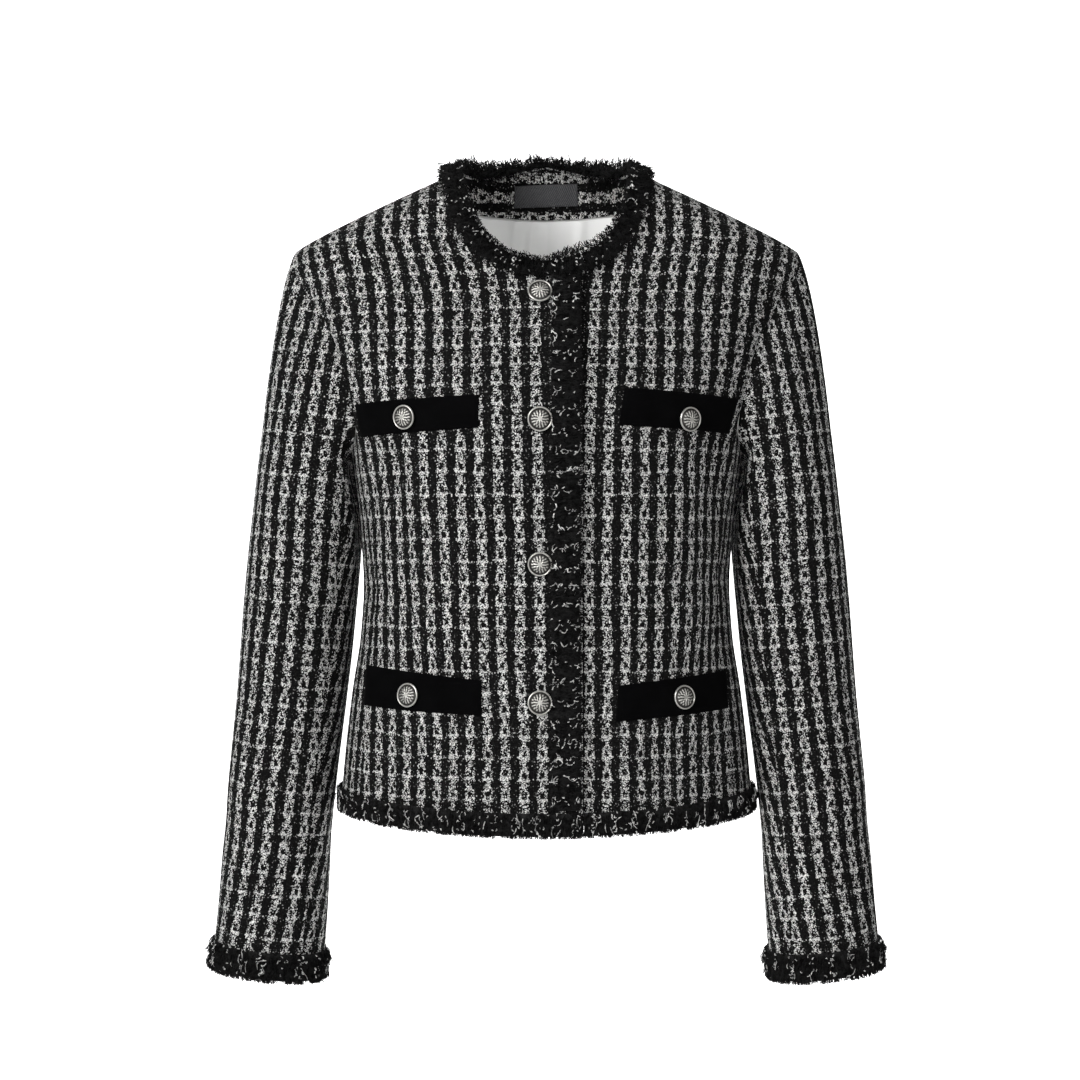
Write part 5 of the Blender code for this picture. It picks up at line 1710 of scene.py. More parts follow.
@dataclass
class FringeBand:
    """A band of fringe: a backing ribbon, clumped black yarn ends and white flecks."""

    name: str
    node: str
    line: Array
    normals: Array
    ways: Array
    tufts: Sequence[Tufts]
    flecks: Sequence[Flecks]
    ribbon: Pair
    gains: Optional[Tuple[Array, Array]] = None
    droop: Optional[Array] = None
    rise: Optional[Array] = None
    seed: int = 1
    clump: float = 0.0043
    radius: float = 0.00033
    stations: int = 5
    sides: int = 3
    ribbon_thick: float = 0.0012
    ribbon_gap: float = 0.0004
    ribbon_step: float = 0.005
    root_lift: float = 0.0007
    shortest: float = 0.0022

    def place(self, share: Array) -> Tuple[Array, Array, Array, Array]:
        """Frames along the line.

        Args:
            share: Places from 0 to 1.

        Returns:
            Points, normals, ways and tangents.
        """
        lengths = arc_lengths(self.line)
        at = share * lengths[-1]
        points, normals, ways = (
            np.stack([np.interp(at, lengths, values[:, k]) for k in range(3)], axis=1)
            for values in (self.line, self.normals, self.ways))
        normals, ways = unit(normals), unit(ways)
        return points, normals, ways, unit(np.cross(normals, ways))

    def level(self, values: Optional[Array], share: Array, plain_value: float) -> Array:
        """One of the band's own values at places along the line.

        Args:
            values: A value for each point of the line, or nothing.
            share: Places from 0 to 1.
            plain_value: What it is when nothing is given.

        Returns:
            One value for each place.
        """
        if values is None:
            return np.full(share.shape, plain_value)
        lengths = arc_lengths(self.line)
        return np.interp(share * lengths[-1], lengths, values)

    def across(self, distance: Array, share: Array) -> Array:
        """Distances from the line, widened or narrowed where the band is.

        Args:
            distance: Plain distances toward the band's ways.
            share: Places from 0 to 1.

        Returns:
            Real distances.
        """
        if self.gains is None:
            return distance
        gain = np.where(distance > 0.0, self.level(self.gains[0], share, 1.0),
                        self.level(self.gains[1], share, 1.0))
        return distance * gain

    def strands(self, paths: Array, radii: Array) -> Tuple[Array, Faces]:
        """Thin closed tubes along short bent paths.

        Args:
            paths: One row of points for each strand.
            radii: Radius of each strand, or of each of its points.

        Returns:
            Vertices and faces.
        """
        tangents = unit(np.gradient(paths, axis=1))
        flat = np.abs(tangents[..., 2:3]) < 0.8
        helper = np.where(flat, [[[0.0, 0.0, 1.0]]], [[[1.0, 0.0, 0.0]]])
        first = unit(np.cross(tangents, helper))
        second = np.cross(tangents, first)
        count, stations = paths.shape[:2]
        taper = np.linspace(1.0, 0.7, stations)[None, :, None]
        radii = radii.reshape(count, -1, 1)
        rings = []
        for k in range(self.sides):
            angle = 2.0 * math.pi * k / self.sides
            spoke = first * math.cos(angle) + second * math.sin(angle)
            rings.append(paths + spoke * radii * taper)
        tubes = np.stack(rings, axis=2)
        base = (np.arange(count) * stations * self.sides)[:, None, None]
        i = np.arange(stations - 1)[None, :, None] * self.sides
        k = np.arange(self.sides)[None, None, :]
        n = (k + 1) % self.sides
        quads = np.stack([base + i + k, base + i + n, base + i + self.sides + n,
                          base + i + self.sides + k], axis=-1).reshape(-1, 4)
        roots = base[:, 0] + np.arange(self.sides)[None, ::-1]
        tips = base[:, 0] + (stations - 1) * self.sides + np.arange(self.sides)[None, :]
        return tubes.reshape(-1, 3), quads.tolist() + roots.tolist() + tips.tolist()

    def backing(self, length: float) -> Tuple[Array, Faces]:
        """The ribbon that the yarn stands on.

        Args:
            length: Length of the line.

        Returns:
            Vertices and faces.
        """
        steps = max(24, int(length / self.ribbon_step))
        share = ramp(steps)
        points, normals, ways, _ = self.place(share)
        low = ways * self.across(np.full(steps + 1, self.ribbon[0]), share)[:, None]
        high = ways * self.across(np.full(steps + 1, self.ribbon[1]), share)[:, None]
        near, far = normals * self.ribbon_gap, normals * self.ribbon_thick
        corners = [points + edge + face
                   for edge, face in ((low, near), (high, near), (high, far), (low, far))]
        faces = [[4 * i + k, 4 * i + (k + 1) % 4, 4 * i + 4 + (k + 1) % 4, 4 * i + 4 + k]
                 for i in range(steps) for k in range(4)]
        faces += [[3, 2, 1, 0], [4 * steps, 4 * steps + 1, 4 * steps + 2, 4 * steps + 3]]
        return np.stack(corners, axis=1).reshape(-1, 3), faces

    def yarn(self, tuft: Tufts, length: float, rng: np.random.Generator) -> Array:
        """Paths of one row of clumped yarn ends.

        Args:
            tuft: The row.
            length: Length of the line.
            rng: Seeded random numbers.

        Returns:
            One path for each yarn end.
        """
        count, clumps = int(tuft.per_metre * length), max(2, int(length / self.clump))
        which = rng.integers(0, clumps, count)
        offset = rng.normal(0.0, 0.3, count)
        share = (which + 0.5 + offset) / clumps
        share = np.where(share < 0.001, 0.001 - share, share)
        share = np.where(share > 0.999, 1.999 - share, share)
        share = np.clip(share, 0.001, 0.999)
        size = 1.0 - tuft.dome * np.minimum(np.abs(offset) / 0.5, 1.5) ** 2
        size *= rng.uniform(0.9, 1.08, clumps)[which] if tuft.ragged > 0.0007 else 1.0
        size = size * (self.level(self.rise, share, 1.0) if tuft.stand or tuft.brush else 1.0)
        if tuft.brush:
            keep = self.level(self.droop, share, 0.0) > rng.uniform(0.2, 0.9, count)
            share, which, size, count = share[keep], which[keep], size[keep], int(keep.sum())
        points, normals, ways, along = self.place(share)
        points = points - normals * tuft.brush
        sense = -1.0 if tuft.flip else 1.0
        root = self.across(sense * rng.uniform(tuft.start, tuft.stop, count), share)
        tip = self.across(sense * (tuft.reach * size + rng.normal(0.0, tuft.ragged, count)), share)
        reach = np.abs(tip - root)
        if tuft.stand or tuft.brush:
            reach = tuft.reach * size + rng.normal(0.0, tuft.ragged, count)
        droop = self.level(self.droop, share, 0.0) * (0.0 if tuft.stand or tuft.brush else 1.0)
        turn = rng.uniform(tuft.fan[0], tuft.fan[1], count) * (1.0 + 0.1 * droop)
        turn = np.where(rng.uniform(0.0, 1.0, count) < 0.5 * droop, -0.9 * turn, turn)[:, None]
        lean = rng.normal(0.0, 0.22, clumps)[which] + rng.normal(0.0, 0.16, count)
        way = unit(sense * ways * np.cos(turn) + normals * np.sin(turn) + along * lean[:, None])
        slant = np.maximum(1.0 / np.sqrt(1.0 + lean ** 2), 0.75)
        reach = np.maximum(reach / slant, self.shortest)[:, None]
        start = points + ways * root[:, None]
        start = start + normals * (self.root_lift + rng.uniform(0.0, tuft.lift, count))[:, None]
        t = ramp(self.stations - 1)[None, :, None]
        curl = (tuft.curl * rng.uniform(0.4, 1.6, count))[:, None, None]
        phase = rng.uniform(0.0, 2.0 * math.pi, count)[:, None, None]
        rate = rng.uniform(4.5, 9.0, count)[:, None, None]
        aside = unit(np.cross(way, normals))[:, None, :]
        paths = start[:, None, :] + (way * reach)[:, None, :] * t
        paths = paths + aside * curl * (np.sin(rate * t + phase) - np.sin(phase))
        return paths + normals[:, None, :] * curl * (np.cos(rate * t + phase) - np.cos(phase))

    def ends(self, flecks: Flecks, length: float, rng: np.random.Generator) -> Array:
        """Paths of white yarn ends.

        Args:
            flecks: Their kind.
            length: Length of the line.
            rng: Seeded random numbers.

        Returns:
            One path for each.
        """
        count = flecks.count
        share = rng.uniform(0.0, 1.0, count)
        if flecks.pitch:
            groups = max(1, int(round(length / flecks.pitch)))
            which = rng.integers(0, groups, count)
            share = (which + 0.5 + rng.normal(0.0, flecks.spread, count)) / groups
        share = np.clip(share, 0.004, 0.996)
        points, normals, ways, along = self.place(share)
        off = self.across(rng.uniform(*flecks.zone, count), share)
        angle = rng.normal(flecks.turn[0], flecks.turn[1], count)[:, None]
        long = rng.uniform(*flecks.long, count)[:, None]
        way = along * np.cos(angle) + ways * np.sin(angle)
        lean = unit(np.cross(way, normals))
        start = points + ways * off[:, None] + normals * flecks.height - way * (0.5 * long)
        t = ramp(self.stations - 1)[None, :, None]
        hook = (rng.normal(0.0, 0.22, count)[:, None] * long)[:, None, :]
        paths = start[:, None, :] + (way * long)[:, None, :] * t
        paths = paths + lean[:, None, :] * hook * np.sin(3.0 * t)
        return paths + normals[:, None, :] * 0.0006 * np.sin(3.1 * t)

    def build(self) -> Piece:
        """Make the band as one object.

        Returns:
            The object.
        """
        rng = np.random.default_rng(self.seed)
        length = float(arc_lengths(self.line)[-1])
        parts = [(self.backing(length), 0)]
        for tuft in self.tufts:
            paths = self.yarn(tuft, length, rng)
            radii = self.radius * rng.uniform(0.7, 1.4, len(paths))
            parts.append((self.strands(paths, radii), 0))
        for flecks in self.flecks:
            paths = self.ends(flecks, length, rng)
            radii = flecks.thick * rng.uniform(0.7, 1.25, (len(paths), 1))
            radii = radii * rng.uniform(0.45, 1.35, (len(paths), self.stations))
            parts.append((self.strands(paths, radii), 1))
        vertices: List[Array] = []
        faces: Faces = []
        slots: List[int] = []
        total = 0
        for (points, quads), material in parts:
            vertices.append(points)
            faces.extend([[v + total for v in face] for face in quads])
            slots.extend([material] * len(quads))
            total += len(points)
        piece = make_piece(self.name, np.concatenate(vertices), faces,
                           (Finish.BLACK_YARN, Finish.WHITE_YARN), np.array(slots))
        return attach(piece, "fringe_yarn", self.node)


class NeckRow(NamedTuple):
    """Reach of the neck fringe at one bearing; 0 is the front and positive the wearer's left."""

    bearing: float
    inner: float
    outer: float
    rise: float


NECK_ROWS = named_rows(NeckRow, (
    (-180.0, 0.007, 0.015, 0.008), (-150.0, 0.007, 0.016, 0.0115),
    (-120.0, 0.0068, 0.0165, 0.0145), (-90.0, 0.006, 0.0158, 0.0092),
    (-60.0, 0.0052, 0.0165, 0.0055), (-41.0, 0.005, 0.0162, 0.0045),
    (-20.0, 0.005, 0.0145, 0.004), (0.0, 0.0048, 0.014, 0.0036),
    (6.0, 0.0085, 0.014, 0.0036), (20.0, 0.0095, 0.014, 0.004),
    (37.0, 0.0058, 0.016, 0.0045), (60.0, 0.004, 0.0165, 0.0055),
    (90.0, 0.005, 0.0158, 0.0092), (120.0, 0.0068, 0.0165, 0.0145),
    (150.0, 0.007, 0.016, 0.0115), (180.0, 0.007, 0.015, 0.008),
))


@dataclass
class Fringes:
    """All the fringe: neckline, placket, hem and cuffs."""

    sleeve: SleeveForm
    inner_plain: float = 0.008
    outer_plain: float = 0.016
    rise_plain: float = 0.008
    neck_edges: Pair = (-0.0262, 0.0275)
    placket_x: float = 0.0135
    placket_ends: Pair = (-0.09, -0.487)
    lap_x: float = 0.0268
    lap_x_at_hem: float = 0.026
    under_lift: float = -0.0006
    hem_depth: float = -0.113
    hem_ends: Pair = (0.0262, 0.027)
    pieces: Dict[str, Piece] = field(default_factory=dict)

    def lifted(self, line: Array, normals: Array, depth: float, edge: float) -> Array:
        """A fringe line raised onto the lap and lowered onto the underlap."""
        lap = np.where(line[:, 0] < edge, CUT.lap_rise, self.under_lift)
        return line + normals * np.where(line[:, 1] < depth, lap, 0.0)[:, None]

    def neck(self) -> None:
        """Fringe round the neckline."""
        right = mirrored(CUT.front_neckline(self.neck_edges[0], 200))
        back = CUT.back_neckline(100)
        behind = np.concatenate([mirrored(back)[::-1], back[1:]])
        left = CUT.front_neckline(self.neck_edges[1], 200)[::-1]
        line = even_points(np.concatenate([right, behind[1:], left[1:]]), 260)
        normals = FORM.normals(line)
        away = unit(np.cross(np.gradient(line, axis=0), normals))
        outward = line - np.array([0.0, -0.012, 0.0])
        outward[:, 2] = -0.06
        away *= np.sign(np.sum(away * outward, axis=1, keepdims=True))
        line = self.lifted(line, normals, -0.03, self.lap_x)
        bearing = np.degrees(np.arctan2(line[:, 0], -line[:, 1]))
        inner = column(NECK_ROWS, "inner", "bearing")(bearing) / self.inner_plain
        outer = column(NECK_ROWS, "outer", "bearing")(bearing) / self.outer_plain
        droop = smooth_step(line[:, 1], 0.01, 0.04)
        rise = column(NECK_ROWS, "rise", "bearing")(bearing) / self.rise_plain
        tufts = (Tufts(-0.004, 0.005, 0.008, 3000, (0.0, 0.6), 0.0022, 0.0008, 0.0008, dome=0.1),
                 Tufts(-0.004, 0.012, 0.016, 3500, (0.05, 0.5), 0.0022, 0.0009, 0.0009, True, 0.08),
                 Tufts(-0.011, 0.004, 0.008, 3700, (1.0, 1.9), 0.0012, 0.0008, 0.0008, dome=0.16,
                       stand=True),
                 Tufts(-0.0012, 0.0016, 0.0078, 4900, (-0.7, 1.9), 0.0012, 0.0009, 0.0008,
                       dome=0.14, brush=0.0012),
                 Tufts(-0.0004, 0.0026, 0.003, 4600, (-2.0, 0.2), 0.001, 0.0006, 0.0006,
                       brush=0.0016))
        flecks = (Flecks(120, (-0.0135, 0.005), (0.0012, 0.005), (1.57, 0.7), height=0.0044),
                  Flecks(170, (-0.014, 0.006), (0.001, 0.0018), (0.8, 1.0), 0.011, 0.1, 0.0044))
        band = FringeBand("trim_neck", "fringe_neck", line, normals, -away, tufts, flecks,
                          (-0.0125, 0.003), (inner, outer), droop, rise, seed=11)
        self.pieces["neck"] = band.build()

    def placket(self) -> None:
        """Fringe down the lap's edge."""
        heights = np.linspace(*self.placket_ends, 300)
        line = FORM.front(np.full(300, self.placket_x), heights)
        normals = FORM.normals(line)
        line = line + normals * CUT.lap_rise
        ways = unit(np.cross(normals, np.gradient(line, axis=0)))
        ways *= np.sign(ways[:, :1])
        tufts = (Tufts(-0.005, 0.006, 0.0118, 5400, (0.0, 0.22), 0.0014, 0.0005, 0.0006),
                 Tufts(-0.004, 0.007, 0.0116, 4300, (0.0, 0.22), 0.0014, 0.0009, 0.0006, True))
        flecks = (Flecks(56, (-0.0105, -0.007), (0.003, 0.0062), (0.1, 0.45), 0.0145, 0.22),
                  Flecks(110, (-0.0095, 0.0085), (0.0022, 0.0062), (1.3, 0.6), 0.0145, 0.1,
                         height=0.0032),
                  Flecks(56, (0.007, 0.0105), (0.002, 0.0045), (0.5, 0.5), 0.0145, 0.25),
                  Flecks(160, (-0.0105, 0.0105), (0.001, 0.0018), (0.9, 1.0), 0.0145, 0.16,
                         height=0.0032))
        band = FringeBand("trim_placket", "fringe_placket", line, normals, ways, tufts, flecks,
                          (-0.0105, 0.0106), seed=12)
        self.pieces["placket"] = band.build()

    def hem(self) -> None:
        """Fringe round the hem."""
        start, end = (math.atan2(self.hem_depth, x) for x in self.hem_ends)
        end -= 2.0 * math.pi
        bearings = np.linspace(start, end, 900)
        spokes = joined(np.cos(bearings), np.sin(bearings), 0.0)
        guess = FORM.cast(joined(0.0 * bearings, 0.0, CUT.hem_side), spokes)
        middle = np.where(guess[:, 1] < 0.0, CUT.hem_front, CUT.hem_back)
        height = CUT.hem_height(guess[:, 0], middle)
        line = even_points(FORM.cast(joined(0.0 * bearings, 0.0, height), spokes), 500)
        normals = FORM.normals(line)
        line = self.lifted(line, normals, -0.08, self.lap_x_at_hem)
        ways = np.tile([[0.0, 0.0, -1.0]], (len(line), 1))
        tufts = (Tufts(-0.009, 0.004, 0.0084, 4200, (0.0, 0.15), 0.0014, 0.0004, 0.0005),
                 Tufts(-0.011, -0.005, 0.001, 1200, (0.1, 0.4), 0.0012, 0.0012, 0.0008))
        flecks = (Flecks(230, (-0.007, 0.005), (0.003, 0.0085), (1.57, 0.45), GRAIN.pitch, 0.17,
                         height=0.0032, thick=0.00038),
                  Flecks(460, (-0.01, 0.007), (0.001, 0.0024), (1.2, 0.9), GRAIN.pitch, 0.2))
        band = FringeBand("trim_hem", "fringe_hem", line, normals, ways, tufts, flecks,
                          (-0.01, 0.0072), seed=13)
        self.pieces["hem"] = band.build()

    def cuffs(self) -> None:
        """Fringe round both cuffs."""
        angles = np.linspace(0.0, 2.0 * math.pi, 200)
        cuff = SLEEVE_LEVELS[-1].height
        low, high = self.sleeve.ring(cuff, angles), self.sleeve.ring(cuff + 0.01, angles)
        ways = unit(low - high)
        normals = unit(np.cross(np.gradient(low, axis=0), ways))
        normals *= np.sign(np.sum(normals * (low - low.mean(axis=0)), axis=1, keepdims=True))
        tufts = (Tufts(-0.008, 0.006, 0.012, 5600, (0.0, 0.12), 0.0012, 0.0005, 0.0005),
                 Tufts(-0.011, -0.005, 0.001, 2200, (0.15, 0.5), 0.0012, 0.001, 0.0008),
                 Tufts(-0.001, 0.004, 0.01, 1500, (0.15, 0.45), 0.0012, 0.001, 0.0007))
        flecks = (Flecks(26, (-0.006, 0.007), (0.003, 0.01), (1.57, 0.4), GRAIN.pitch, 0.16,
                         height=0.0036, thick=0.00032),
                  Flecks(190, (-0.011, 0.007), (0.001, 0.0024), (1.0, 1.0), GRAIN.pitch, 0.14,
                         height=0.0036))
        for side in Side:
            label = side.name.lower()
            flip = mirrored if side is Side.RIGHT else (lambda points: points)
            band = FringeBand(f"trim_cuff_{label}", f"fringe_cuff_{label}", flip(low),
                              flip(normals), flip(ways), tufts, flecks, (-0.0105, 0.01),
                              seed=14 + side.value)
            self.pieces[f"cuff_{label}"] = band.build()

    def build(self) -> None:
        """Build every band."""
        self.neck()
        self.placket()
        self.hem()
        self.cuffs()


# ---------------- pockets and buttons
class PocketBand(NamedTuple):
    """Corners and button of a pocket band, as (x, z) seen from the front."""

    name: str
    inner_top: Pair
    inner_bottom: Pair
    outer_top: Pair
    outer_bottom: Pair
    button: Pair


POCKET_BANDS = named_rows(PocketBand, (
    ("upper_right", (-0.05, -0.1803), (-0.0505, -0.2046), (-0.1455, -0.1835),
     (-0.1425, -0.2085), (-0.1042, -0.1955)),
    ("upper_left", (0.057, -0.1751), (0.053, -0.2024), (0.145, -0.1795),
     (0.14, -0.2065), (0.1042, -0.197)),
    ("lower_right", (-0.0483, -0.3917), (-0.049, -0.4177), (-0.1385, -0.3833),
     (-0.14, -0.4141), (-0.1026, -0.404)),
    ("lower_left", (0.0534, -0.3954), (0.0512, -0.4221), (0.1375, -0.3872),
     (0.139, -0.4164), (0.1012, -0.4055)),
))
FRONT_BUTTON_HEIGHTS: Tuple[float, ...] = (-0.1034, -0.1984, -0.3041, -0.4078)
BUTTON_LINE = -0.0052


@dataclass
class Pockets:
    """Velvet bands with soft rolled edges."""

    columns: int = 60
    rows: int = 16
    thick: float = 0.002
    stand: float = 0.0004
    roll: float = 0.0022
    size: Pair = (0.09, 0.026)

    def build(self, body: Body) -> None:
        """Build the four bands.

        Args:
            body: The fronts that they lie on.
        """
        across = ramp(self.columns)[None, :, None]
        up = ramp(self.rows)[:, None, None]
        for band in POCKET_BANDS:
            corners = [np.array(c) for c in band[1:5]]
            inner = corners[1] + (corners[0] - corners[1]) * up
            outer = corners[3] + (corners[2] - corners[3]) * up
            seen = inner + (outer - inner) * across
            grid = FORM.front(seen[..., 0], seen[..., 1])
            side = Side.RIGHT if "right" in band.name else Side.LEFT
            normals = FORM.normals(grid)
            lift = CUT.lap_offset(grid, side) + body_creases(grid) + self.stand
            edge = np.minimum(np.minimum(across, 1.0 - across)[..., 0] * self.size[0],
                              np.minimum(up, 1.0 - up)[..., 0] * self.size[1])
            roll = self.thick * np.sqrt(np.clip(edge / self.roll, 0.0, 1.0) * 0.85 + 0.15)
            base = grid + normals * lift[..., None]
            top = base + normals * roll[..., None]
            shell = Shell(f"velvet_{band.name}", top, base, seen, Finish.VELVET, Finish.VELVET,
                          ease=0.0)
            piece = attach(shell.build(), "black_velvet", f"pocket_{band.name}")
            front = body.pieces[f"front_{side.name.lower()}"][1]
            shell.declare(piece, [front.name], held=Hold.LAID)


class ButtonRing(NamedTuple):
    """One ring of a button, from its foot to its crown."""

    radius: float
    height: float


class ReliefRing(NamedTuple):
    """A ring of raised rays: height, share of the petals, phase, radius and spread."""

    height: float
    share: float
    phase: float
    radius: float
    spread: float


RELIEF_RINGS = named_rows(ReliefRing, (
    (0.0004, 1.0, 0.0, 0.0058, 0.0007), (0.0004, 0.75, 1.1, 0.0042, 0.0007),
    (0.00036, 0.5, 0.6, 0.0025, 0.0007), (0.00022, 2.0, 0.0, 0.0073, 0.0004)))


@dataclass
class ButtonMaker:
    """Domed metal buttons with a rim, a groove and a plain radiating pattern."""

    sides: int = 96
    petals: int = 16
    face_height: float = 0.002
    dome_radius: float = 0.0026
    rim_radius: float = 0.0081
    relief_full: float = 0.0007
    seat: float = 0.0002
    pocket_rise: float = 0.0024
    rings: Tuple[ButtonRing, ...] = named_rows(ButtonRing, (
        (0.0021, 0.0), (0.0021, 0.0012), (0.0086, 0.0013), (0.0091, 0.0018), (0.0092, 0.0024),
        (0.009, 0.003), (0.0086, 0.0033), (0.0082, 0.0032), (0.0079, 0.0026), (0.0075, 0.0023),
        (0.0071, 0.0025), (0.0067, 0.0031), (0.0062, 0.0035), (0.0058, 0.0037), (0.0054, 0.0039),
        (0.005, 0.0041), (0.0046, 0.00425), (0.0042, 0.0044), (0.0038, 0.00455), (0.0033, 0.0047),
        (0.0029, 0.00475), (0.0025, 0.0048), (0.0021, 0.00485), (0.0016, 0.0049), (0.0009, 0.0049)))

    def blank(self) -> Piece:
        """Turn the button's body in edit mode, foot at the origin.

        Returns:
            The object.
        """
        bpy.ops.object.select_all(action="DESELECT")
        bpy.ops.mesh.primitive_circle_add(vertices=self.sides, radius=self.rings[0].radius,
                                          fill_type="NGON", location=(0.0, 0.0, 0.0))
        piece = bpy.context.active_object
        bpy.ops.object.mode_set(mode="EDIT")
        bpy.ops.mesh.select_all(action="SELECT")
        for before, ring in zip(self.rings, self.rings[1:]):
            bpy.ops.mesh.extrude_region_move(
                TRANSFORM_OT_translate={"value": (0.0, 0.0, ring.height - before.height)})
            scale = ring.radius / before.radius
            bpy.ops.transform.resize(value=(scale, scale, 1.0),
                                     center_override=(0.0, 0.0, ring.height))
        bpy.ops.mesh.select_all(action="SELECT")
        bpy.ops.mesh.normals_make_consistent(inside=False)
        bpy.ops.object.mode_set(mode="OBJECT")
        return piece

    def relief(self, x: Array, y: Array) -> Array:
        """Height of the pattern on the face.

        Args:
            x: x values.
            y: y values.

        Returns:
            Heights, in metres.
        """
        far, turn = np.hypot(x, y), np.arctan2(y, x)
        total = np.zeros(far.shape)
        for ring in RELIEF_RINGS:
            wave = np.cos(ring.share * self.petals * turn + ring.phase)
            total += ring.height * (wave * np.exp(-((far - ring.radius) / ring.spread) ** 2))
        return total

    def make(self, name: str, node: str, foot: Array, normal: Array) -> Piece:
        """One finished button.

        Args:
            name: Piece name.
            node: CAD node that it stands for.
            foot: Where it stands.
            normal: Its axis.

        Returns:
            The object.
        """
        piece = self.blank()
        piece.name = name
        piece.data.name = name
        points = np.empty(len(piece.data.vertices) * 3)
        piece.data.vertices.foreach_get("co", points)
        points = points.reshape(-1, 3)
        relief = self.relief(points[:, 0], points[:, 1]) * (points[:, 2] > self.face_height)
        far = np.hypot(points[:, 0], points[:, 1])
        profile = np.interp(far, [r.radius for r in self.rings[:5:-1]],
                            [r.height for r in self.rings[:5:-1]])
        middle = np.exp(-(far / self.dome_radius) ** 2)
        level = np.clip(0.34 + 0.36 * middle + relief / self.relief_full, 0.0, 1.0)
        level = level * np.clip((profile - 0.0024) / 0.0012, 0, 1)
        level = np.where(far > self.rim_radius, 0.95, level)
        points[:, 2] += relief
        turn = Vector(tuple(map(float, normal))).to_track_quat("Z", "Y").to_matrix()
        placed = points @ np.array(turn).T + foot
        piece.data.vertices.foreach_set("co", placed.ravel())
        for layer in list(piece.data.uv_layers):
            piece.data.uv_layers.remove(layer)
        set_layer(piece, "relief", joined(points[:, 0] * 100.0, level))
        piece.data.materials.clear()
        piece.data.materials.append(Finish.SILVER.material())
        piece.data.shade_smooth()
        piece.data.set_sharp_from_angle(angle=math.radians(55.0))
        return attach(piece, "antique_silver", node)

    def build(self) -> None:
        """Make all eight buttons."""
        places = [(f"front_{number}", (BUTTON_LINE, height), CUT.lap_rise + self.seat)
                  for number, height in enumerate(FRONT_BUTTON_HEIGHTS, start=1)]
        places += [(f"pocket_{band.name}", band.button, self.pocket_rise) for band in POCKET_BANDS]
        for name, seen, rise in places:
            point = FORM.front(*seen)
            normal = FORM.normals(point)
            self.make(f"silver_{name}", f"button_{name}", point + normal * rise, normal)


# ---------------- inside of the back
class LiningRow(NamedTuple):
    """Half width of the lining at one height."""

    height: float
    half_width: float


class LiningFold(NamedTuple):
    """A fold down the lining: its x at the neck, its rise and its spread."""

    x: float
    rise: float
    spread: float


LINING_ROWS = named_rows(LiningRow, (
    (-0.48, 0.132), (-0.33, 0.116), (-0.2, 0.122), (-0.11, 0.128), (-0.018, 0.085)))
LINING_FOLDS = named_rows(LiningFold, (
    (-0.03, 0.003, 0.005), (0.026, 0.002, 0.0045), (-0.016, 0.0018, 0.0035),
    (-0.054, 0.003, 0.007), (0.052, 0.0014, 0.006), (0.086, 0.0012, 0.008),
    (-0.09, 0.0014, 0.008)))


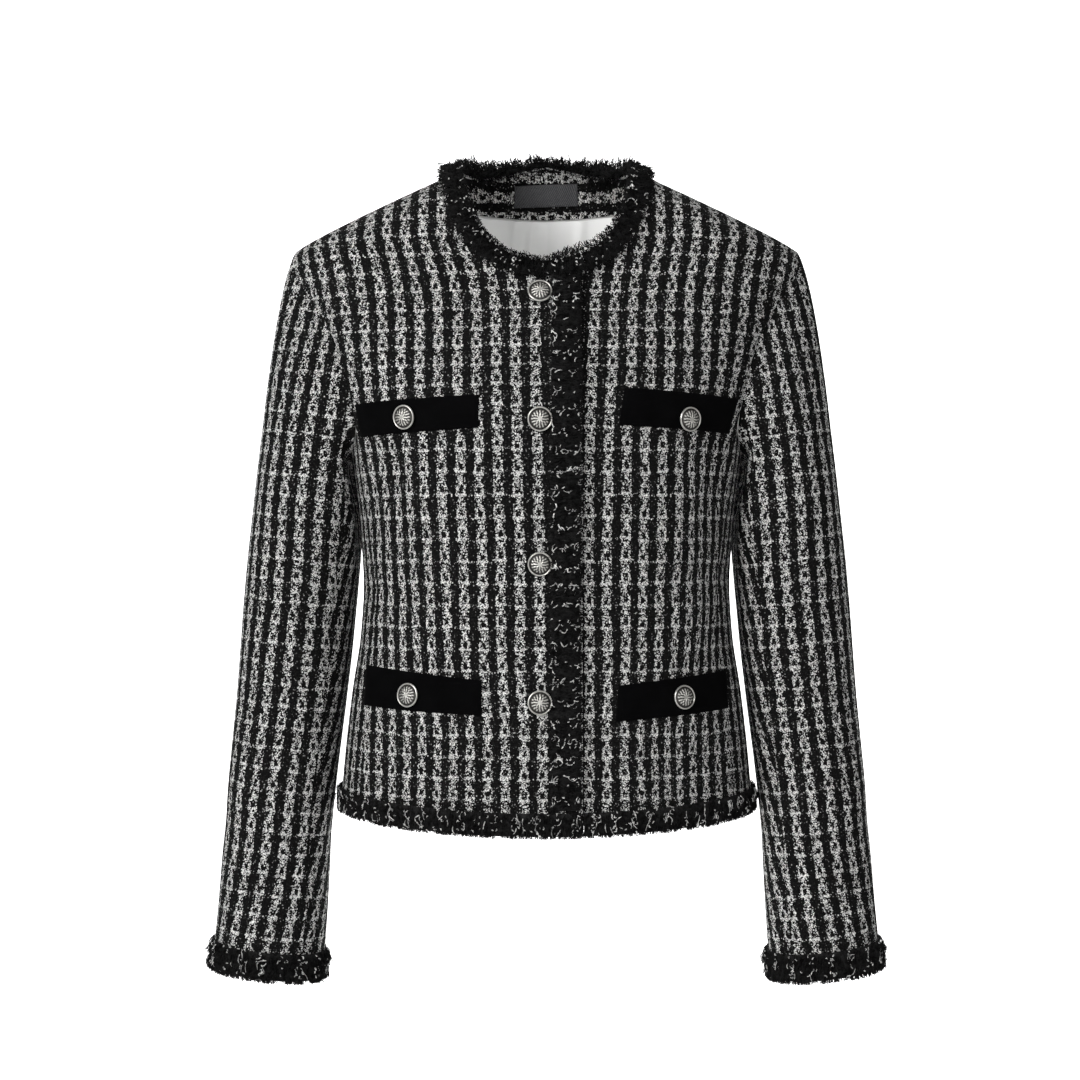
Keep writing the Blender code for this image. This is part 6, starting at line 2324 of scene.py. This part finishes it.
@dataclass
class BackInside:
    """Facing, lining and blank label inside the back."""

    wall: float = 0.0009
    facing_low_half: float = 0.085
    facing_bottom: float = -0.016
    facing_inset: float = 0.006
    facing_rise: float = 0.97
    facing_bend: float = 2.0
    facing_step: float = 0.0158
    facing_row: float = 0.002
    lining_bottom: float = -0.477
    lining_gap: float = 0.0012
    pleat_rise: float = 0.003
    pleat_spread: float = 0.005
    depth: float = 0.0026
    fold_slant: float = 0.1
    fold_height: float = -0.06
    label_half_width: float = 0.0272
    label_bottom: float = -0.0052
    label_top: float = 0.0124
    label_tilt: float = 0.033
    label_depth: float = 0.0038
    label_rim: float = 0.0004
    label_rim_width: float = 0.0012
    facing_steps: Tuple[int, int] = (96, 28)
    lining_points: Tuple[int, int] = (161, 120)
    label_points: Tuple[int, int] = (49, 17)

    def facing_grid(self, columns: int, rows: int) -> Array:
        """Points of the facing on the form.

        Args:
            columns: Steps across.
            rows: Steps up.

        Returns:
            Grid of points.
        """
        half = CUT.back_neckline(columns // 2)
        top = np.concatenate([mirrored(half)[::-1], half[1:]])
        share = np.linspace(-1.0, 1.0, columns + 1)
        sides = float(FORM.ridge(self.facing_low_half)[2]) - self.facing_inset
        bend = np.abs(share) ** self.facing_bend
        height = self.facing_bottom + (sides - self.facing_bottom) * bend
        bottom = FORM.back(self.facing_low_half * share, height)
        up = np.linspace(0.0, self.facing_rise, rows + 1)[:, None, None]
        return FORM.settle(bottom[None] + (top - bottom)[None] * up)

    def skin(self, name: str, node: str, slot: str, grid: Array, depth: Array, cloth: Array,
             finish: Finish) -> Tuple[Shell, Piece]:
        """A thin piece inside the form.

        Args:
            name: Piece name.
            node: CAD node that it stands for.
            slot: Name of a material slot, passed on to attach.
            grid: Points on the form.
            depth: How far inside the form it lies.
            cloth: Cloth coordinates.
            finish: Its finish.

        Returns:
            The shell and its object.
        """
        inward = -FORM.normals(grid)
        near = grid + inward * np.broadcast_to(depth, grid.shape[:2])[..., None]
        shell = Shell(name, near + inward * self.wall, near, cloth, finish, finish, ease=0.0)
        return shell, attach(shell.build(), slot, node)

    def build(self, body: Body) -> None:
        """Build the three pieces.

        Args:
            body: The back that they lie in.
        """
        back = body.pieces["back"][1].name
        grid = self.facing_grid(*self.facing_steps)
        rows = (grid[..., 2] - self.facing_row) / self.facing_step + 0.5
        cloth = joined(rows * GRAIN.pitch, grid[..., 0])
        shell, piece = self.skin("facing_neck", "facing_back_neck", "tweed", grid, self.depth,
                                 cloth, Finish.TWEED)
        shell.declare(piece, [back], held=Hold.LAID)
        facing = piece.name

        share = np.linspace(-1.0, 1.0, self.lining_points[0])
        heights = np.linspace(self.lining_bottom, self.facing_bottom - self.lining_gap,
                              self.lining_points[1])
        sides = float(FORM.ridge(self.facing_low_half)[2]) - self.facing_inset - self.lining_gap
        near_top = smooth_step(heights, -0.09, heights[-1])[:, None]
        bend = np.abs(share)[None, :] ** self.facing_bend
        z = heights[:, None] + (sides - heights[-1]) * near_top * bend
        x = column(LINING_ROWS, "half_width")(heights)[:, None] * share[None, :]
        grid = FORM.back(x, z)
        pleat = self.pleat_rise * np.exp(-np.abs(x / self.pleat_spread) ** 1.4)
        slant = self.fold_slant * (z - self.fold_height)
        folds = sum(fold.rise * np.exp(-((x - fold.x - slant) / fold.spread) ** 2)
                    for fold in LINING_FOLDS)
        cloth = joined(x, z)
        shell, piece = self.skin("lining_satin_back", "lining_back", "lining_satin", grid,
                                 self.depth + pleat + folds, cloth, Finish.SATIN)
        shell.declare(piece, [back])

        columns, rows = self.label_points
        x = np.linspace(-self.label_half_width, self.label_half_width, columns)[None, :]
        z = np.linspace(self.label_bottom, self.label_top, rows)[:, None]
        grid = FORM.back(x, z + self.label_tilt * x)
        rim = np.minimum(self.label_half_width - np.abs(x),
                         np.minimum(z - self.label_bottom, self.label_top - z))
        depth = self.label_depth + self.label_rim * smooth_step(rim, 0.0, self.label_rim_width)
        shell, piece = self.skin("label_blank", "label", "label_cloth", grid, depth,
                                 joined(x, z), Finish.LABEL)
        shell.declare(piece, [facing], held=Hold.LAID)


# ---------------- stage
class Lamp(NamedTuple):
    """A soft square light: its place, width in metres, watts and aim."""

    name: str
    place: Triple
    size: float
    power: float
    target: Triple = (0.0, 0.0, -0.28)


LAMPS: Tuple[Lamp, ...] = (
    Lamp("key", (-1.8, -2.4, 0.9), 1.2, 102.0),
    Lamp("fill", (1.0, -2.9, 0.2), 1.6, 21.0),
    Lamp("top", (0.2, 0.6, 2.2), 1.6, 16.0),
    Lamp("backdrop_upper", (0.0, 1.0, 1.2), 3.0, 240.0, (0.0, 5.0, 0.6)),
    Lamp("backdrop_lower", (0.0, 1.0, 0.2), 2.6, 200.0, (0.0, 4.4, -1.3)),
)


@dataclass(frozen=True)
class Studio:
    """Pale floor and backdrop, soft lights and the camera."""

    floor_height: float = -1.3
    floor_size: float = 9.0
    curve_steps: int = 8
    wall_height: float = 5.0
    eye: Triple = (-0.0052, -1.5, -0.287)
    lens: float = 62.5
    tone: float = 0.93
    sky: float = 0.34
    sensor: float = 36.0

    def backdrop(self) -> None:
        """A floor that curves up into a backdrop, made by extruding its edge."""
        bpy.ops.object.select_all(action="DESELECT")
        bpy.ops.mesh.primitive_plane_add(size=self.floor_size,
                                         location=(0.0, 0.0, self.floor_height))
        floor = bpy.context.active_object
        floor.name = "floor"
        bpy.ops.object.mode_set(mode="EDIT")
        bpy.ops.mesh.select_all(action="DESELECT")
        bpy.ops.object.mode_set(mode="OBJECT")
        for edge in floor.data.edges:
            ends = [floor.data.vertices[v].co.y for v in edge.vertices]
            edge.select = min(ends) > 0.49 * self.floor_size
        bpy.ops.object.mode_set(mode="EDIT")
        bpy.context.tool_settings.mesh_select_mode = (False, True, False)
        for k in range(1, self.curve_steps + 1):
            angle = math.radians(90.0 * k / self.curve_steps)
            last = math.radians(90.0 * (k - 1) / self.curve_steps)
            step = (0.0, math.sin(angle) - math.sin(last), math.cos(last) - math.cos(angle))
            bpy.ops.mesh.extrude_region_move(TRANSFORM_OT_translate={"value": step})
        bpy.ops.mesh.extrude_region_move(
            TRANSFORM_OT_translate={"value": (0.0, 0.0, self.wall_height)})
        bpy.ops.object.mode_set(mode="OBJECT")
        bpy.ops.object.transform_apply(location=True)
        floor.data.shade_smooth()
        wiring = Wiring("paper", (self.tone, self.tone, self.tone))
        place = wiring.place()
        wiring.set(Base_Color=wiring.mix(wiring.noise(place, 3.0), (0.92, 0.92, 0.92),
                                         (0.94, 0.94, 0.94)), Roughness=0.9)
        floor.data.materials.append(wiring.material)

    @staticmethod
    def light(lamp: Lamp) -> None:
        """Hang one light.

        Args:
            lamp: Its row of the table.
        """
        data = bpy.data.lights.new(lamp.name, "AREA")
        data.shape = "SQUARE"
        data.size = lamp.size
        data.energy = lamp.power
        made = bpy.data.objects.new(lamp.name, data)
        made.location = lamp.place
        aim = Vector(lamp.target) - Vector(lamp.place)
        made.rotation_euler = aim.to_track_quat("-Z", "Y").to_euler()
        bpy.context.scene.collection.objects.link(made)

    def build(self) -> None:
        """Set the stage."""
        self.backdrop()
        for lamp in LAMPS:
            self.light(lamp)
        world = bpy.data.worlds.new("studio")
        world.use_nodes = True
        background = world.node_tree.nodes["Background"].inputs
        background["Color"].default_value = (1.0, 1.0, 1.0, 1.0)
        background["Strength"].default_value = self.sky
        bpy.context.scene.world = world
        bpy.context.scene.view_settings.view_transform = "Standard"
        data = bpy.data.cameras.new("camera")
        data.lens = self.lens
        data.sensor_width = self.sensor
        data.sensor_fit = "HORIZONTAL"
        camera = bpy.data.objects.new("camera", data)
        camera.location = self.eye
        camera.rotation_euler = (math.pi / 2.0, 0.0, 0.0)
        bpy.context.scene.collection.objects.link(camera)
        bpy.context.scene.camera = camera


def main() -> None:
    """Dress the jacket."""
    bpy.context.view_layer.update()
    Studio().build()
    body = Body()
    body.build()
    sleeves = Sleeves()
    sleeves.build()
    fringes = Fringes(sleeves.form)
    fringes.build()
    Pockets().build(body)
    ButtonMaker().build()
    BackInside().build(body)
    extras = {"front_right": [fringes.pieces["neck"], fringes.pieces["placket"]],
              "back": [fringes.pieces["hem"]],
              "sleeve_left_top": [fringes.pieces["cuff_left"]],
              "sleeve_right_top": [fringes.pieces["cuff_right"]]}
    for name, (shell, piece) in {**body.pieces, **sleeves.pieces}.items():
        shell.declare(piece, with_pieces=extras.get(name, ()))
    LOG.info("all pieces made")


if __name__ == "__main__":
    main()
